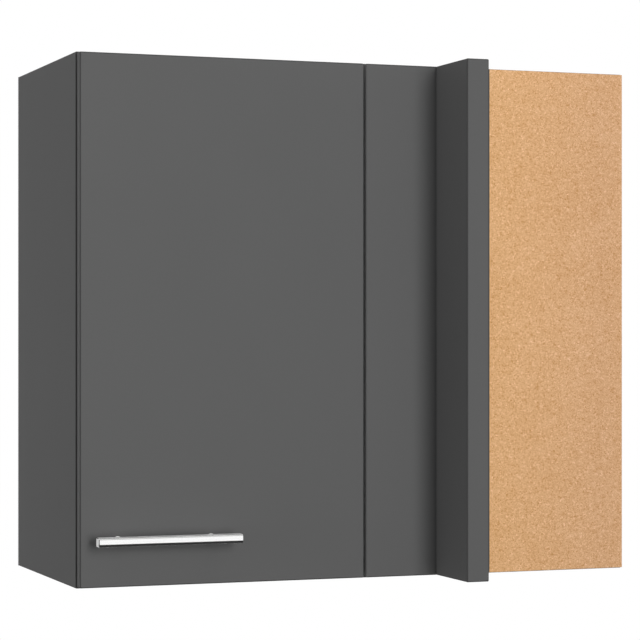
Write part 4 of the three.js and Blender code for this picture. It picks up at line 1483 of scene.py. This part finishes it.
def hinge_arm(level):
    node = f"hinge_arm_{level}"
    low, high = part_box(node)
    pin = middle(f"hinge_pin_{level}")
    pin_low, pin_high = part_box(f"hinge_pin_{level}")
    half = ARM_SHEET / 2
    plate_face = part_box(f"hinge_plate_{level}")[0].x
    front = CARCASS_FRONT + ARM_BAR_FRONT
    upright = CARCASS_FRONT + ARM_UPRIGHT_END
    outline = soft_outline([
        (pin.x, pin.y - half, 0),
        (low.x, pin.y - half, ARM_BEND),
        (low.x, upright, ARM_NECK_BEND),
        (plate_face - ARM_BAR, front, ARM_OUTER_BEND),
        (plate_face - ARM_BAR, high.y, ARM_TAIL_CORNER),
        (plate_face, high.y, ARM_TAIL_CORNER),
        (plate_face, front, ARM_INNER_BEND),
        (low.x + ARM_SHEET, upright - half, ARM_NECK_BEND),
        (low.x + ARM_SHEET, pin.y + half, ARM_CUP_BEND),
        (pin.x, pin.y + half, 0),
    ], BEND_STEPS)
    strip = extruded(outline, "z", low.z, high.z, ARM_EDGE)
    mesh = combined(strip, plug("z", EYE_RADIUS, low.z, high.z, pin), "UNION", [nickel])
    bore = plug("z", (pin_high - pin_low).x / 2 + PIN_PLAY, low.z - PAST, high.z + PAST, pin)
    dress(node, "strip", combined(mesh, bore, "DIFFERENCE", [nickel]), [nickel])


print("arm of sheet", round(ARM_SHEET / MM, 1), "mm thick")

# %% Hinge plate and pin
WING_SHEET = 2.0 * MM
WING_HALF = 8.0 * MM
WING_EDGE = 0.6 * MM
SPINE_HALF = 7.0 * MM
SPINE_EDGE = 0.7 * MM
HINGE_PIN_EDGE = 0.2 * MM


def hinge_plate(level):
    node = f"hinge_plate_{level}"
    low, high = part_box(node)
    z = middle(node).z
    y = middle(f"hinge_plate_screw_{level}_a").y
    wing = block(
        (high.x - WING_SHEET, y - WING_HALF, low.z), (high.x, y + WING_HALF, high.z), WING_EDGE,
    )
    spine = block((low.x, low.y, z - SPINE_HALF), (high.x, high.y, z + SPINE_HALF), SPINE_EDGE)
    dress(node, "casting", combined(wing, spine, "UNION", [zinc]), [zinc])


def hinge_pin(level):
    node = f"hinge_pin_{level}"
    low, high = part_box(node)
    radius = (high - low).x / 2
    edge = HINGE_PIN_EDGE
    profile = [
        (0, low.z), (radius - edge, low.z), (radius, low.z + edge),
        (radius, high.z - edge), (radius - edge, high.z), (0, high.z),
    ]
    dress(node, "turned", turned(profile, "z", middle(node), COARSE_STEPS), [nickel])


for level in LEVELS:
    hinge_arm(level)
    hinge_plate(level)
    hinge_pin(level)
print("two arms, two plates, two pins")

# %% [markdown]
# ## Wall hangers
#
# The housing is a narrow moulded box, open to the back panel. A smaller block cut out of a
# softened one leaves even walls. Inside it sits the hook, bent from thick strip: its foot
# stands on the height screw, and its lip reaches through the back panel to drop over the
# rail on the wall. The hook is one outline pushed sideways, so its bends are true arcs.

# %% Hanger housings and hooks
HOUSING_WALL = 2.0 * MM
HOUSING_EDGE = 0.8 * MM
DRIVER_HOLE_RADIUS = 2.8 * MM
HOOK_FOOT = 6.0 * MM
HOOK_BAR = 9.0 * MM
HOOK_LIP = 2.5 * MM
HOOK_CORNER = 0.8 * MM
HOOK_BEND = 1.5 * MM
HOOK_SHOULDER = 2.2 * MM
LIP_CORNER = 0.6 * MM
HOOK_EDGE = 0.4 * MM


def hanger_housing(side):
    node = f"hanger_housing_{side}"
    low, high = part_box(node)
    wall = HOUSING_WALL
    shell = block(low, high, HOUSING_EDGE)
    room = block(
        (low.x + wall, low.y + wall, low.z + wall),
        (high.x - wall, high.y + PAST, high.z - wall),
    )
    mesh = combined(shell, room, "DIFFERENCE", [plastic])
    holes = [
        plug("y", DRIVER_HOLE_RADIUS, low.y - PAST, low.y + wall + PAST, middle(screw))
        for screw in (f"hanger_depth_screw_{side}", f"hanger_height_screw_{side}")
    ]
    dress(node, "moulding", combined(mesh, joined(holes), "DIFFERENCE", [plastic]), [plastic])


def hanger_hook(side):
    node = f"hanger_hook_{side}"
    low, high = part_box(node)
    bar_bottom = high.z - HOOK_BAR
    lip_bottom = high.z - HOOK_LIP_DROP
    outline = soft_outline([
        (low.y, low.z, HOOK_CORNER),
        (low.y + HOOK_FOOT, low.z, HOOK_CORNER),
        (low.y + HOOK_FOOT, bar_bottom, HOOK_BEND),
        (high.y - HOOK_LIP, bar_bottom, HOOK_CORNER),
        (high.y - HOOK_LIP, lip_bottom, LIP_CORNER),
        (high.y, lip_bottom, LIP_CORNER),
        (high.y, high.z, HOOK_SHOULDER),
        (low.y, high.z, HOOK_BEND),
    ], BEND_STEPS)
    dress(node, "strip", extruded(outline, "x", low.x, high.x, HOOK_EDGE), [nickel])


for side in SIDES:
    hanger_housing(side)
    hanger_hook(side)
print("two housings, two hooks")

# %% [markdown]
# ## Assembly screws
#
# The battens hold the fixed fronts with screws driven from inside. Their heads are
# countersunk: a flat disc with a cross, a hair above the face of the board. The frame
# doesn't have them, so they are set out along each batten by shares of its length.

# %% Countersunk screws
SUNK_HEAD = 4.0 * MM
SUNK_SHANK = 1.8 * MM
SUNK_DEPTH = 2.6 * MM
SUNK_PROUD = 0.25 * MM
SUNK_EDGE = (0.3 * MM, 0.2 * MM)
SUNK_LENGTH = 14.0 * MM
SUNK_TIP = 3.0 * MM
SUNK_CROSS = (2.1 * MM, 1.5 * MM)
ROW_SHARES = (0.08, 0.36, 0.64, 0.92)


def sunk_screw(name, face, centre):
    """A countersunk screw, driven forwards, whose head stands a hair proud of its face."""
    profile = [
        (0, 0), (SUNK_HEAD - SUNK_EDGE[0], 0), (SUNK_HEAD, SUNK_EDGE[1]),
        (SUNK_SHANK, SUNK_DEPTH), (SUNK_SHANK, SUNK_LENGTH - SUNK_TIP), (0, SUNK_LENGTH),
    ]
    mesh = crossed(profile, "y", face + SUNK_PROUD, -1, centre, *SUNK_CROSS, nickel)
    piece(name, mesh, [nickel], "carcass")


def batten_screws(node, columns):
    low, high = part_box(node)
    size = high - low
    places = [(share, column) for share in ROW_SHARES for column in columns]
    for number, (share, column) in enumerate(places, 1):
        at = Vector((low.x + size.x * column, 0, low.z + size.z * share))
        sunk_screw(f"{node}_screw_{number}", high.y, at)
    return len(places)


sunk = batten_screws("filler_batten", (0.5,)) + batten_screws("joint_batten", (0.25, 0.75))
print(sunk, "batten screws")

# %% [markdown]
# ## Everything else
#
# Every node of the frame gets the finish of its slot, so nothing is left plain.

SLOT_FINISH = {
    "graphite_board": facing,
    "raw_chipboard": raw_face,
    "hardboard": hardboard_print,
    "brushed_steel": steel,
    "nickel_steel": nickel,
    "white_plastic": plastic,
    "clear_rubber": rubber,
}
for node, slot in SLOT_OF.items():
    data = frame["nodes"][node].data
    data.materials.clear()
    data.materials.append(SLOT_FINISH[slot])
